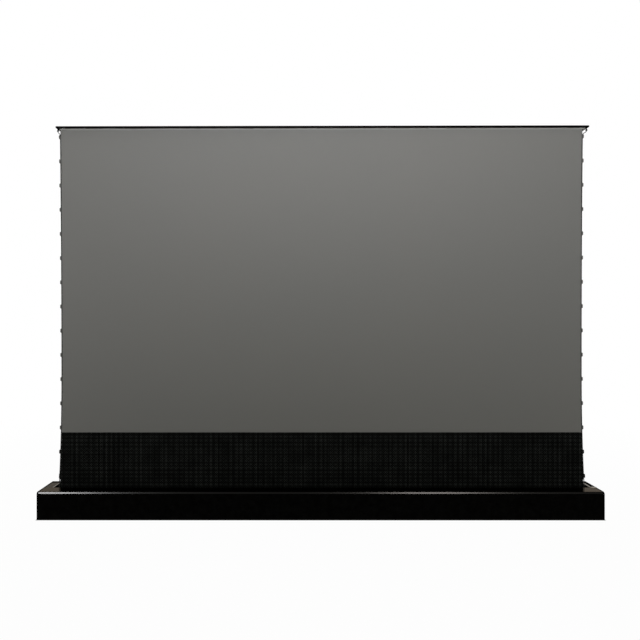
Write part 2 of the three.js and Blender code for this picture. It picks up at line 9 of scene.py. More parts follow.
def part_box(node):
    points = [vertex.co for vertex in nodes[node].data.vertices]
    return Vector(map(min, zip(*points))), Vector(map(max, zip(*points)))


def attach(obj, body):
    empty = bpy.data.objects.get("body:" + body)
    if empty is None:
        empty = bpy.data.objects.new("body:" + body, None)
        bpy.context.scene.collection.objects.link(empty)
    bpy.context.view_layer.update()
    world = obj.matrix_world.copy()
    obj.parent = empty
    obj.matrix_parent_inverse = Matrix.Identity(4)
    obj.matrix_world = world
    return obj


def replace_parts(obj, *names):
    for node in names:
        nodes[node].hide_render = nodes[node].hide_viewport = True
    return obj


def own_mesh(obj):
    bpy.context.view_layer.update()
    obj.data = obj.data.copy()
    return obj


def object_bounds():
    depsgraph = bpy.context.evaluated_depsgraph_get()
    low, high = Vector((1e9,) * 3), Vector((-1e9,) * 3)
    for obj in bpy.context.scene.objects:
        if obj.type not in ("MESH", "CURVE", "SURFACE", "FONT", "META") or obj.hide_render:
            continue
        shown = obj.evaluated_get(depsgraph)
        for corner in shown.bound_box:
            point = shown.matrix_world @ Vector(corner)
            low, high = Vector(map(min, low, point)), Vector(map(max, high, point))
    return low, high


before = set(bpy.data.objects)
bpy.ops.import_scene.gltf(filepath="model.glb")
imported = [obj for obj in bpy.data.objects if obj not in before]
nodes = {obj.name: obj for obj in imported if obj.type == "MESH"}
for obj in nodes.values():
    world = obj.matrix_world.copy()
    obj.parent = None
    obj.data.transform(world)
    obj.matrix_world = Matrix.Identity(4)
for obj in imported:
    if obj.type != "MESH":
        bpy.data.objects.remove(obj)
bpy.context.scene.view_settings.view_transform = "Standard"
cadLow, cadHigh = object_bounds()
sides = {"left": -1, "right": 1}
ranks = ("front", "rear")
stages = ("lower", "upper")  # of the lift
print("frame loaded:", len(nodes), "nodes")


# Camera: level, a little left of the middle, as in the photo
photo = {
    "pixels": 640,
    "focal": 615,  # pixels
    "vanishing": (295.9, 315.5),  # pixel that the lens axis points at
    "place": (-0.100, -2.622, 0.844),
    "sensor": 36,
    "yaw": 0.003,  # radians; the bar's picture rises a little to the right, the case stays level
    "roll": 0.0008,
}


def makeCamera():
    data = bpy.data.cameras.new("photoCamera")
    data.sensor_width = photo["sensor"]
    data.lens = photo["sensor"] * photo["focal"] / photo["pixels"]
    half = photo["pixels"] / 2
    turned = photo["focal"] * photo["yaw"]
    data.shift_x = (half - photo["vanishing"][0] + turned) / photo["pixels"]
    data.shift_y = (photo["vanishing"][1] - half) / photo["pixels"]
    camera = bpy.data.objects.new("photoCamera", data)
    camera.location = photo["place"]
    camera.rotation_euler = (math.pi / 2, photo["roll"], photo["yaw"])
    bpy.context.scene.collection.objects.link(camera)
    bpy.context.scene.camera = camera


makeCamera()
print("camera ready")


# A wire is one socket of a material, and sums on wires add their Math nodes
class Wire:
    def __init__(self, paint, socket):
        self.paint = paint
        self.socket = socket

    def __add__(self, other):
        return self.paint.sum("ADD", self, other)

    def __radd__(self, other):
        return self.paint.sum("ADD", other, self)

    def __sub__(self, other):
        return self.paint.sum("SUBTRACT", self, other)

    def __rsub__(self, other):
        return self.paint.sum("SUBTRACT", other, self)

    def __mul__(self, other):
        return self.paint.sum("MULTIPLY", self, other)

    def __rmul__(self, other):
        return self.paint.sum("MULTIPLY", other, self)

    def __pow__(self, other):
        return self.paint.sum("POWER", self, other)


# One material while it is being wired
class Paint:
    def __init__(self, name, tree=None):
        self.material = None
        if tree is None:
            self.material = bpy.data.materials.new(name)
            self.material.use_nodes = True
            tree = self.material.node_tree
        self.tree = tree
        self.tree.nodes.clear()

    def add(self, kind, settings=None, values=None, out=0):
        node = self.tree.nodes.new("ShaderNode" + kind)
        for key, value in (settings or {}).items():
            if key == "stops":
                self.setStops(node.color_ramp, value)
            else:
                setattr(node, key, value)
        for key, value in (values or {}).items():
            if isinstance(value, Wire):
                self.tree.links.new(value.socket, node.inputs[key])
            else:
                node.inputs[key].default_value = value
        return Wire(self, node.outputs[out]) if node.outputs else None

    def setStops(self, ramp, stops):
        while len(ramp.elements) < len(stops):
            ramp.elements.new(1)
        for element, (place, tone) in zip(ramp.elements, stops):
            element.position = place
            element.color = (tone, tone, tone, 1)

    def place(self, stretch=(1, 1, 1)):
        spot = self.add("TexCoord", out=3)
        return self.add("Mapping", {"vector_type": "POINT"}, {"Vector": spot, "Scale": stretch})

    def axis(self, number):
        return self.add("SeparateXYZ", None, {0: self.place()}, number)

    def noise(self, scale, detail=3, rough=0.5, stretch=(1, 1, 1)):
        values = {"Vector": self.place(stretch), "Scale": scale, "Detail": detail, "Roughness": rough}
        return self.add("TexNoise", None, values)

    def ramp(self, wire, *stops):
        return self.add("ValToRGB", {"stops": stops}, {0: wire})

    def sum(self, operation, first, second):
        return self.add("Math", {"operation": operation}, {0: first, 1: second})

    def sine(self, wire):
        return self.add("Math", {"operation": "SINE"}, {0: wire})

    def size(self, wire):
        return self.add("Math", {"operation": "ABSOLUTE"}, {0: wire})

    def mix(self, share, first, second):
        return self.add("Mix", {"data_type": "RGBA"}, {0: share, 6: first, 7: second}, 2)

    # Two sets of threads that cross
    def checks(self, across, down):
        return self.sine(self.axis(0) * across) * self.sine(self.axis(2) * down)

    def bump(self, height, distance, strength):
        return self.add("Bump", None, {"Height": height, "Distance": distance, "Strength": strength})

    def finish(self, colour, rough, normal=None, gloss=0.5, metal=0, tint=(1, 1, 1, 1)):
        values = {"Base Color": colour, "Roughness": rough, "Specular IOR Level": gloss}
        values.update({"Metallic": metal, "Specular Tint": tint})
        if normal:
            values["Normal"] = normal
        shader = self.add("BsdfPrincipled", None, values)
        self.add("OutputMaterial", None, {0: shader})
        return self.material


def grey(tone, warm=0.0):
    return (tone * (1 + warm), tone, tone * (1 - warm), 1)


# Meshes; a part is a pair of points and faces, and a piece is an object made of it
smoothUnder = math.radians(40)  # edges flatter than this shade smooth


def shadeEvenly(piece):
    even = piece.modifiers.new("evenShading", "WEIGHTED_NORMAL")
    even.keep_sharp = True


def newPiece(name, part, finish, body="base"):
    points, faces = part
    mesh = bpy.data.meshes.new(name)
    mesh.from_pydata(points, [], faces)
    mesh.validate()
    mesh.materials.append(finishes[finish])
    mesh.shade_smooth()
    mesh.set_sharp_from_angle(angle=smoothUnder)
    piece = bpy.data.objects.new(name, mesh)
    shadeEvenly(piece)
    bpy.context.scene.collection.objects.link(piece)
    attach(piece, body)
    return piece


def joined(name, parts, finish, body="base"):
    points = []
    faces = []
    for partPoints, partFaces in parts:
        start = len(points)
        points += partPoints
        faces += [tuple(n + start for n in face) for face in partFaces]
    return newPiece(name, (points, faces), finish, body)


def moved(part, place):
    points, faces = part
    return [tuple(place @ Vector(point)) for point in points], faces


def shift(x, y, z):
    return Matrix.Translation((x, y, z))


def facing(direction):
    return Vector(direction).to_track_quat("Z", "Y").to_matrix().to_4x4()


def signedArea(loop):
    pairs = zip(loop, loop[1:] + loop[:1])
    return sum(a[0] * b[1] - b[0] * a[1] for a, b in pairs) / 2


sharpest = 0.5  # keeps the points of sharp corners from moving too far
arcShare = 0.45  # of an edge that the arc of one corner may take


# Moves an outline inward
def inset(loop, distance):
    inner = []
    count = len(loop)
    for i, (x, y) in enumerate(loop):
        before = Vector(loop[i]) - Vector(loop[i - 1])
        after = Vector(loop[(i + 1) % count]) - Vector(loop[i])
        first = Vector((-before.y, before.x)).normalized()
        second = Vector((-after.y, after.x)).normalized()
        both = first + second
        reach = distance * 2 / max(both.length_squared, sharpest)
        inner.append((x + both.x * reach, y + both.y * reach))
    return inner


# Rounds every corner of an outline with a short arc
def rounded(loop, radius, steps=3):
    smooth = []
    count = len(loop)
    for i in range(count):
        here = Vector(loop[i])
        back = Vector(loop[i - 1]) - here
        ahead = Vector(loop[(i + 1) % count]) - here
        turn = back.angle(ahead)
        reach = min(radius / math.tan(turn / 2), back.length * arcShare, ahead.length * arcShare)
        start = here + back.normalized() * reach
        end = here + ahead.normalized() * reach
        for k in range(steps + 1):
            t = k / steps
            point = start * (1 - t) ** 2 + here * 2 * t * (1 - t) + end * t ** 2
            smooth.append((point.x, point.y))
    return smooth


# Faces between two rings of points, given by their first points
def band(low, high, size):
    faces = []
    for i in range(size):
        j = (i + 1) % size
        faces.append((low + i, low + j, high + j, high + i))
    return faces


# A plate with rounded rims: loops[0] is its outline, the other loops are holes
def plate(loops, depth, rim, place, rimSteps=2):
    turned = []
    for number, loop in enumerate(loops):
        clockwise = signedArea(loop) < 0
        turned.append(loop[::-1] if clockwise == (number == 0) else loop)
    angles = [math.pi / 2 * k / rimSteps for k in range(rimSteps + 1)]
    steps = [(rim * (1 - math.sin(angle)), rim * (1 - math.cos(angle))) for angle in angles]
    steps += [(side, depth - height) for side, height in reversed(steps)]
    points = []
    faces = []
    starts = []
    for loop in turned:
        starts.append(len(points))
        for side, height in steps:
            points += [(x, y, height) for x, y in inset(loop, side)]
        size = len(loop)
        for step in range(len(steps) - 1):
            low = starts[-1] + step * size
            faces += band(low, low + size, size)
    for step, flipped in ((0, True), (len(steps) - 1, False)):
        rings = []
        numbers = []
        for loop, start in zip(turned, starts):
            ring = range(start + step * len(loop), start + (step + 1) * len(loop))
            rings.append([Vector(points[n]) for n in ring])
            numbers += list(ring)
        for corner in tessellate_polygon(rings):
            face = [numbers[n] for n in corner]
            normal = (Vector(points[face[1]]) - Vector(points[face[0]])).cross(
                Vector(points[face[2]]) - Vector(points[face[0]]))
            faces.append(face[::-1] if (normal.z < 0) != flipped else face)
    return moved((points, faces), place)


alongX = Matrix(((0, 0, 1, 0), (1, 0, 0, 0), (0, 1, 0, 0), (0, 0, 0, 1)))  # outline in Y and Z
alongY = Matrix(((1, 0, 0, 0), (0, 0, -1, 0), (0, 1, 0, 0), (0, 0, 0, 1)))  # outline in X and Z


# Direction of a path at one of its points
def heading(path, number):
    before = path[max(number - 1, 0)]
    after = path[min(number + 1, len(path) - 1)]
    return (Vector(after) - Vector(before)).normalized()


# Rows of points joined into a closed skin, each row one closed ring
def skin(rows):
    size = len(rows[0])
    points = [point for row in rows for point in row]
    faces = []
    for low in range(0, len(points) - size, size):
        faces += band(low, low + size, size)
    faces.append(tuple(range(size))[::-1])
    faces.append(tuple(range(len(points) - size, len(points))))
    return points, faces


def circle(x, y, radius, steps=20):
    angles = [2 * math.pi * i / steps for i in range(steps)]
    return [(x + radius * math.cos(angle), y + radius * math.sin(angle)) for angle in angles]


smallRound = 28  # sides of small turned parts


# A turned piece: the outline is (distance along the axis, radius), from one end to the other
def lathe(outline, place, around=32):
    rows = [[(x, y, along) for x, y in circle(0, 0, radius, around)] for along, radius in outline]
    return moved(skin(rows), place)


# Studio: white surroundings, soft lamps in front, behind and at both edges of the cloth, and two far
# ceiling lamps, left and right, that the front bevel mirrors
studio = {
    "floorHalf": 30,
    "floorGlow": 0.98,  # share of plain white in the floor near the case, the rest takes the shadow
    "floorTone": 0.5,
    "paintedShadowTone": 0.02,  # painted contact shadow on the floor under the case
    "near": 1.4,
    "farFrom": 3.2,  # from here on the floor is plain white
    "rampScale": 0.2,  # brings the two distances into a ramp's range
    "gap": (0.0015, 0.005),  # outside the case, where the painted contact shadow begins to fade and where it ends
    "paintedShadowScale": 20,
    "air": (0.265, 0.262, 0.228, 1),  # light from all round
    "mirrored": (1, 0.95, 0.89, 1),  # a warmer white in reflections
    "lamps": {
        "key": {"place": (0.0, -2.3, 2.0), "aim": (0.0, 0, 1.9), "size": (2.8, 0.25), "power": 12.5},
        "fill": {"place": (0.6, -4.2, 1.1), "aim": (0.1, 0, 0.9), "size": (4.0, 3.0), "power": 58.5},
        "right": {"place": (1.72, -1.71, 5.75), "aim": (0.47, -0.08, 0.1), "size": (1.2, 0.7), "power": 150},
        "left": {"place": (-3.33, -1.63, 5.48), "aim": (-1.14, -0.08, 0.1), "size": (1.0, 0.7), "power": 310},
        "back": {"place": (0, 3.0, 2.8), "aim": (0, 0, 0.9), "size": (3.0, 1.2), "power": 45},
        "washLeft": {"place": (-1.75, -0.62, 0.85), "aim": (-1, 0, 0.85), "size": (0.25, 0.9), "power": 1.6},
        "washRight": {"place": (1.8, -0.62, 0.9), "aim": (1.05, 0, 0.9), "size": (0.25, 0.9), "power": 1},
    },
    "keySpread": 75,  # degrees; the key lights the upper half most
    "unmirrored": ("key", "fill", "washLeft", "washRight"),  # the photo's bevel mirrors two lamps only
    "mirrorOnly": ("left", "right"),  # the mirror image of these shows, their light doesn't
    "warm": {"right": (1, 0.93, 0.88), "fill": (1, 1, 0.91)},
}


def seenDirectly(paint):
    path = paint.add("LightPath", out="Is Camera Ray")
    outlets = path.socket.node.outputs
    glossy = Wire(paint, outlets["Is Glossy Ray"])
    through = Wire(paint, outlets["Is Transmission Ray"])
    total = path + glossy + through
    total.socket.node.use_clamp = True
    return total


def makeSurroundings():
    world = bpy.data.worlds.new("studioAir")
    world.use_nodes = True
    bpy.context.scene.world = world
    paint = Paint("studioAir", world.node_tree)
    eye = paint.add("LightPath", out="Is Camera Ray")
    white = paint.mix(eye, studio["mirrored"], (1, 1, 1, 1))
    colour = paint.mix(seenDirectly(paint), studio["air"], white)
    light = paint.add("Background", None, {"Color": colour, "Strength": 1})
    paint.add("OutputWorld", None, {0: light})

    half = studio["floorHalf"]
    points = [(-half, -half, 0), (half, -half, 0), (half, half, 0), (-half, half, 0)]
    mesh = bpy.data.meshes.new("studioFloor")
    mesh.from_pydata(points, [], [(0, 1, 2, 3)])
    floor = bpy.data.objects.new("studioFloor", mesh)
    bpy.context.scene.collection.objects.link(floor)
    paint = Paint("studioFloor")
    glow = paint.add("Emission", None, {"Color": (1, 1, 1, 1), "Strength": 1})
    x, y = paint.axis(0), paint.axis(1)
    scale = studio["rampScale"]
    stops = [(studio["near"] * scale, 0.0), (studio["farFrom"] * scale, 1.0)]
    far = paint.ramp((x * x + y * y) ** 0.5 * scale, *stops)
    # Painted contact shadow: under and just around the case the floor is coloured dark and loses its glow
    outside = paint.sum("MAXIMUM", paint.size(x) - cadHigh.x, paint.size(y) - cadHigh.y)
    scale = studio["paintedShadowScale"]
    stops = [(distance * scale + 0.5, tone) for distance, tone in zip(studio["gap"], (0.0, 1.0))]
    under = paint.ramp(outside * scale + 0.5, *stops)
    dim = paint.mix(under, grey(studio["paintedShadowTone"]), grey(studio["floorTone"]))
    matte = paint.add("BsdfDiffuse", None, {"Color": dim})
    share = (far * (1 - studio["floorGlow"]) + studio["floorGlow"]) * under
    mixed = paint.add("MixShader", None, {0: seenDirectly(paint) * share, 1: matte, 2: glow})
    paint.add("OutputMaterial", None, {0: mixed})
    mesh.materials.append(paint.material)


def makeLamp(name, facts):
    data = bpy.data.lights.new(name + "Lamp", "AREA")
    data.color = studio["warm"].get(name, (1, 1, 1))
    data.shape = "RECTANGLE"
    data.size, data.size_y = facts["size"]
    data.energy = facts["power"]
    lamp = bpy.data.objects.new(name + "Lamp", data)
    lamp.location = facts["place"]
    towards = Vector(facts["aim"]) - Vector(facts["place"])
    lamp.rotation_euler = towards.to_track_quat("-Z", "Y").to_euler()
    if name == "key":
        data.spread = math.radians(studio["keySpread"])
    lamp.visible_glossy = name not in studio["unmirrored"]
    lamp.visible_diffuse = name not in studio["mirrorOnly"]
    bpy.context.scene.collection.objects.link(lamp)


makeSurroundings()
for lampName, lampFacts in studio["lamps"].items():
    makeLamp(lampName, lampFacts)
print("studio ready")


# Finishes
def greyFabric(name, tone):
    paint = Paint(name)
    grain = paint.noise(1500, 2, 0.7)
    base = paint.mix(paint.noise(1.6, 2), grey(tone * 0.97, -0.01), grey(tone * 1.03, 0.012))
    colour = paint.mix(paint.ramp(grain, (0.3, 0.0), (0.7, 0.12)), base, grey(tone * 1.4))
    return paint.finish(colour, 0.82, paint.bump(grain, 0.0002, 0.5), 0.2)


def charcoalBacking():
    paint = Paint("charcoalBacking")
    colour = paint.mix(paint.noise(3, 3), grey(0.020), grey(0.028, 0.02))
    return paint.finish(colour, 0.75, paint.bump(paint.checks(3200, 3200), 0.00015, 0.6), 0.25)


weave = {
    "thread": 2600,
    "ribs": 640,
    "columns": 150,  # thicker warp threads in a metre, about
    "rows": 135,
    "grid": (295, 370),
    "tone": 0.0002,
    "ribTone": (0.060, 0.065, 0.0645, 1),
    "shares": {"warp": 0.16, "weft": 0.13, "crossing": 0.34, "fine": 0.27, "grid": 0.065, "even": 0.01},
}


# The black drop shows an irregular faint grid of thicker threads over its fine weave
def blackWeave(name):
    paint = Paint(name)
    share = weave["shares"]
    warp = paint.ramp(paint.noise(weave["columns"], 2, 0.6, (1, 0, 0)), (0.48, 0.0), (0.66, 1.0))
    weft = paint.ramp(paint.noise(weave["rows"], 2, 0.6, (0, 0, 1)), (0.50, 0.0), (0.66, 1.0))
    across, down = weave["grid"]
    grid = (paint.sine(paint.axis(0) * across) + 1) * (paint.sine(paint.axis(2) * down) + 1)
    patches = paint.ramp(paint.noise(11, 3, 0.6), (0.35, 0.55), (0.65, 1.0))
    ribs = warp * share["warp"] + weft * share["weft"] + warp * weft * share["crossing"]
    ribs = ribs + paint.checks(weave["ribs"], weave["ribs"]) * share["fine"]
    ribs = ribs + grid * share["grid"] + share["even"]
    colour = paint.mix(ribs * patches, grey(weave["tone"]), weave["ribTone"])
    threads = paint.checks(weave["thread"], weave["thread"])
    return paint.finish(colour, 0.8, paint.bump(threads + ribs, 0.00012, 0.5), 0.004)


def braidedCord():
    paint = Paint("braidedCord")
    across, deep, up = paint.axis(0), paint.axis(1), paint.axis(2)
    strands = paint.sine((up + across + deep) * 2900) * paint.sine((up - across - deep) * 2900)
    colour = paint.mix(paint.ramp(strands * 0.5 + 0.5, (0.2, 0.0), (0.9, 1.0)), grey(0.006), grey(0.022))
    return paint.finish(colour, 0.7, paint.bump(strands, 0.0003, 0.8), 0.2)


def twillTape(name, tones, rough, gloss, relief):
    paint = Paint(name)
    twill = paint.sine((paint.axis(0) + paint.axis(2)) * 3600)
    colour = paint.mix(paint.noise(60, 3), grey(tones[0]), grey(tones[1]))
    return paint.finish(colour, rough, paint.bump(twill, 0.0002, relief), gloss)


def thread():
    paint = Paint("thread")
    colour = paint.mix(paint.noise(700, 2), grey(0.016), grey(0.035))
    return paint.finish(colour, 0.6, paint.bump(paint.sine(paint.axis(2) * 9000), 0.0001, 0.6), 0.3)


anodising = {"worn": 0.003, "reflects": (1, 0.9, 0.78, 1)}


# Black anodised extrusion: fine die lines along X, faint dust, edges rubbed a little lighter
def blackAnodised(name, tone, gloss):
    paint = Paint(name)
    lines = paint.noise(60, 4, 0.6, (0.02, 14, 14))
    rubbed = paint.ramp(paint.add("NewGeometry", out="Pointiness"), (0.51, 0.0), (0.56, 1.0))
    marks = rubbed * paint.ramp(paint.noise(35, 4, 0.7), (0.42, 0.0), (0.62, 1.0))
    base = paint.mix(paint.noise(2.2, 4, 0.55), grey(tone * 0.8), grey(tone * 1.25, 0.02))
    colour = paint.mix(marks * 0.7, base, grey(anodising["worn"]))
    rough = paint.ramp(lines, (0.25, 0.30), (0.75, 0.42))
    return paint.finish(colour, rough, paint.bump(lines, 0.00006, 0.4), gloss, tint=anodising["reflects"])


# Black faces that mirror their surroundings at a flat angle, more or less of them by the tint
def blackMirror(name, tones, roughs, tint):
    paint = Paint(name)
    lines = paint.noise(70, 4, 0.6, (0.02, 14, 14))
    colour = paint.mix(lines, grey(tones[0]), grey(tones[1]))
    rough = paint.ramp(lines, (0.25, roughs[0]), (0.75, roughs[1]))
    return paint.finish(colour, rough, metal=1, tint=(*tint, 1))


def bareAluminium():
    paint = Paint("bareAluminium")
    lines = paint.noise(90, 4, 0.6, (0.02, 12, 12))
    colour = paint.mix(paint.noise(9, 3), (0.40, 0.41, 0.42, 1), (0.50, 0.50, 0.51, 1))
    rough = paint.ramp(lines, (0.25, 0.34), (0.75, 0.5))
    return paint.finish(colour, rough, paint.bump(lines, 0.00008, 0.4), metal=1)


def zincSteel():
    paint = Paint("zincSteel")
    crystals = paint.add("TexVoronoi", {"feature": "F1"}, {"Vector": paint.place(), "Scale": 160})
    colour = paint.mix(crystals, (0.25, 0.26, 0.27, 1), (0.36, 0.37, 0.36, 1))
    rough = paint.ramp(paint.noise(40, 4, 0.6), (0.3, 0.34), (0.7, 0.52))
    return paint.finish(colour, rough, paint.bump(crystals, 0.00004, 0.5), metal=1)


def mouldedPlastic(name, tone, gloss, warm=0.0):
    paint = Paint(name)
    colour = paint.mix(paint.noise(14, 3), grey(tone * 0.85, warm), grey(tone * 1.15, warm))
    rough = paint.ramp(paint.noise(30, 3), (0.3, 0.46), (0.7, 0.58))
    return paint.finish(colour, rough, paint.bump(paint.noise(2400, 2, 0.6), 0.00008, 0.5), gloss)


def blackPaint():
    paint = Paint("blackPaint")
    colour = paint.mix(paint.noise(18, 3), grey(0.010), grey(0.018))
    rough = paint.ramp(paint.noise(25, 3), (0.3, 0.24), (0.7, 0.36))
    return paint.finish(colour, rough, paint.bump(paint.noise(420, 2, 0.5), 0.00008, 0.4), 0.35)


def footRubber():
    paint = Paint("footRubber")
    colour = paint.mix(paint.noise(120, 3), grey(0.008), grey(0.016))
    return paint.finish(colour, 0.85, paint.bump(paint.noise(900, 3, 0.7), 0.00015, 0.6), 0.2)


def polishedRod():
    paint = Paint("polishedRod")
    rings = paint.noise(300, 3, 0.6, (1, 0.1, 0.1))
    colour = paint.mix(rings, (0.55, 0.56, 0.58, 1), (0.66, 0.67, 0.68, 1))
    return paint.finish(colour, paint.ramp(rings, (0.3, 0.10), (0.7, 0.22)), metal=1)


finishes = {
    "grey": greyFabric("greyFabric", 0.155),
    # The batten pocket: a lighter copy of the grey fabric, a painted highlight along the fold under the bar
    "pocket": greyFabric("pocketLitFabric", 0.235),
    "charcoal": charcoalBacking(),
    "black": blackWeave("blackWeave"),
    "woundFabric": blackWeave("woundWeave"),
    "cord": braidedCord(),
    "webbing": twillTape("webbing", (0.006, 0.012), 0.78, 0.12, 0.7),
    "tab": twillTape("greyTab", (0.075, 0.11), 0.8, 0.15, 0.6),  # cut from the grey fabric's cloth
    "thread": thread(),
    "anodised": blackAnodised("blackAnodised", 0.0004, 0.008),
    "barAnodised": blackAnodised("barAnodised", 0.0007, 0.006),
    "armAnodised": blackAnodised("armAnodised", 0.009, 0.3),
    "bevel": blackMirror("cutBevel", (0.004, 0.008), (0.17, 0.24), (1, 1, 1)),
    "rearProfile": blackMirror("rearProfile", (0.003, 0.006), (0.30, 0.42), (0.40, 0.39, 0.38)),
    "coverTop": blackMirror("coverTop", (0.003, 0.005), (0.09, 0.15), (0.555, 0.530, 0.500)),
    "slotPlate": blackMirror("slotPlate", (0.003, 0.005), (0.14, 0.22), (0.54, 0.525, 0.505)),
    "slotLip": blackMirror("slotLip", (0.02, 0.03), (0.14, 0.22), (0.88, 0.87, 0.84)),
    "bare": bareAluminium(),
    "zinc": zincSteel(),
    "plastic": mouldedPlastic("blackPlastic", 0.0006, 0.001),
    # light plastic of the block beside the slot's right end: a painted highlight
    "clip": mouldedPlastic("glintBlockPlastic", 0.32, 0.2, 0.1),
    "capPlastic": mouldedPlastic("capPlastic", 0.0008, 0.006),
    "innerPlastic": mouldedPlastic("innerPlastic", 0.012, 0.3),
    "acetal": mouldedPlastic("acetal", 0.66, 0.4, 0.03),
    "paint": blackPaint(),
    "rubber": footRubber(),
    "rod": polishedRod(),
}
print("finishes ready:", len(finishes))


# Where the screen hangs between roller and bar, and how wide it is there
screen = {
    "middle": 0.008,
    "plane": 0.005,
    "waist": 1.1108,  # from the middle to the outside of the cords
    "waistHeight": 0.611,
    "topFlare": 0.006,
    "cornerFlare": 0.0035,  # the upper corners pull out towards the cord holders
    "cornerHeight": 1.612,
    "rollerFlare": 0.015,
    "rollerPower": 2.2,
    "rollerHeight": 0.058,
    "barUnderside": 1.645,
    "edge": 0.0033,  # cord and its gap
    "clothEdge": 0.0047,
    "columns": 24,
    "folded": 0.1112,  # underside of the lowered bar
}


def halfWidth(z):
    if z > screen["waistHeight"]:
        share = (z - screen["waistHeight"]) / (screen["barUnderside"] - screen["waistHeight"])
        corner = max(0, (z - screen["cornerHeight"]) / (screen["barUnderside"] - screen["cornerHeight"]))
        return screen["waist"] + screen["topFlare"] * share ** 2 + screen["cornerFlare"] * corner ** 2
    share = (screen["waistHeight"] - z) / (screen["waistHeight"] - screen["rollerHeight"])
    return screen["waist"] + screen["rollerFlare"] * share ** screen["rollerPower"]


def levels(low, high, steps):
    return [low + (high - low) * i / steps for i in range(steps + 1)]


def crumple(piece):
    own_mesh(piece)


def makeFabric(name, node, finish, steps):
    low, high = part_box(node)
    columns = screen["columns"]
    rows = []
    for z in levels(low.z, high.z, steps):
        half = halfWidth(z) - screen["clothEdge"]
        stops = [screen["middle"] + half * (2 * i / columns - 1) for i in range(columns + 1)]
        rows.append([(x, low.y, z) for x in stops] + [(x, high.y, z) for x in reversed(stops)])
    piece = newPiece(name, skin(rows), finish)
    piece.data.materials.append(finishes["charcoal"])
    for face in piece.data.polygons:
        face.material_index = 1 if face.normal.y > 0.5 else 0
    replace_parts(piece, node)
    crumple(piece)
    return piece


cord = {
    "radius": 0.0015,
    "around": 10,
    "ends": [(1.1157, 1.6158), (1.1172, 1.6188), (1.1198, 1.6214), (1.1228, 1.6236), (1.1256, 1.6256)],
    "holder": (1.1283, 0.0166),  # from the middle and below the bar
    "lean": 0.0035,  # the bar hangs a little to the right of the cloth
}


# A round rod along a path
def tube(path, radius, around, flank=(0, 1, 0)):
    rows = []
    for number, here in enumerate(path):
        along = heading(path, number)
        across = along.cross(Vector(flank)).normalized()
        upright = across.cross(along).normalized()
        rows.append([tuple(Vector(here) + across * x + upright * y) for x, y in circle(0, 0, radius, around)])
    return skin(rows)


# The cord runs up the edge, leans out above a shoulder and ends in the holder under the bar's tip
def cordPath(side):
    heights = levels(screen["rollerHeight"], screen["cornerHeight"], 60)
    path = [(halfWidth(z) - cord["radius"], z) for z in heights]
    points = [(screen["middle"] + side * out, screen["plane"], z) for out, z in path]
    ends = cord["ends"] + [(cord["holder"][0], screen["barUnderside"] - cord["holder"][1])]
    for number, (out, z) in enumerate(ends, 1):
        lean = cord["lean"] * number / len(ends)
        points.append((screen["middle"] + lean + side * out, screen["plane"], z))
    return points


tab = {
    "count": 15,
    "top": 1.607,
    "pitch": 0.1034,
    "height": 0.018,
    "reach": 0.0045,
    "lastReach": 0.0014,  # the lowest left tab is tucked in
    "gauge": 0.0008,
    "hug": 0.0002,  # from the cord's surface to the middle of the tab's thickness
    "sewn": [(-0.0115, 0.0023), (-0.006, 0.0023)],  # out from the cord's middle, behind its plane
    "step": (-0.0025, 0.0001),  # down to the cord
    "slope": 0.8,
    "fold": (0.0012, 0.0009, 0.0011),  # at the outer end: set back, and half its width and depth
    "tail": (-0.0017, -0.0008),
    "taper": 0.8,
    "narrowest": 0.08,
}


def tabMesh(side, middleZ, reach):
    plane, radius, steps = screen["plane"], cord["radius"], 6
    hug = radius + tab["hug"]
    bend, slope = radius + reach * 0.5, hug * tab["slope"]
    back, width, depth = tab["fold"]
    path = tab["sewn"] + [(tab["step"][0], hug + tab["step"][1]), (0.0, hug), (bend, slope)]
    for k in range(steps + 1):
        angle = math.pi / 2 - math.pi * k / steps
        path.append((radius + reach - back + width * math.cos(angle), depth * math.sin(angle)))
    path += [(bend, -slope), (0.0, -hug), tab["tail"]]
    rows = []
    for number, (out, y) in enumerate(path):
        along = heading(path, number)
        normal = Vector((-along.y, along.x)) * tab["gauge"] / 2
        past = max(0.0, (out - radius) / reach)
        tall = tab["height"] / 2 * math.sqrt(max(tab["narrowest"], 1 - tab["taper"] * past ** 2))
        loop = []
        for sign in (1, -1):
            for z in levels(middleZ - sign * tall, middleZ + sign * tall, steps):
                x = halfWidth(z) - radius + out + sign * normal.x
                loop.append((screen["middle"] + side * x, plane + y + sign * normal.y, z))
        rows.append(loop if side > 0 else loop[::-1])
    return skin(rows)


# One stitch: a short thread, pressed flat, with its ends sunk in
def stitch(centre, half, width, depth):
    x, y, z = centre
    ring = [(x - width, y, z - half * 0.6), (x, y, z - half), (x + width, y, z - half * 0.6)]
    ring += [(x + width, y, z + half * 0.6), (x, y, z + half), (x - width, y, z + half * 0.6)]
    ridge = [(x, y + depth, z - half * 0.45), (x, y + depth, z + half * 0.45)]
    faces = [(0, 1, 6), (1, 2, 6), (2, 3, 7, 6), (3, 4, 7), (4, 5, 7), (5, 0, 6, 7), (5, 4, 3, 2, 1, 0)]
    return ring + ridge, faces


sewing = {
    "rows": (0.0045, 0.0075),  # inward from the edge
    "places": (-2, -1, 0, 1, 2),
    "pitch": 0.0034,
    "proud": 0.0027,
    "size": (0.0013, 0.00025, 0.00025),
}
hem = {
    "top": 1.630,
    "below": 0.015,  # how far it goes on under the lowest tab
    "behind": 0.00055,
    "ring": [  # inward and rearward
        (-0.0004, 0), (-0.0006, 0.0007), (-0.0002, 0.0013), (0.0125, 0.0013), (0.013, 0.0007), (0.0128, 0),
    ],
}


# The hem is swept up the edge of the cloth
def hemMesh(side, lowest):
    rows = []
    for z in levels(lowest - hem["below"], hem["top"], 60):
        edge = halfWidth(z) - screen["edge"]
        rear = screen["plane"] + hem["behind"]
        loop = [(screen["middle"] + side * (edge - inward), rear + y, z) for inward, y in hem["ring"]]
        rows.append(loop if side < 0 else loop[::-1])
    return skin(rows)


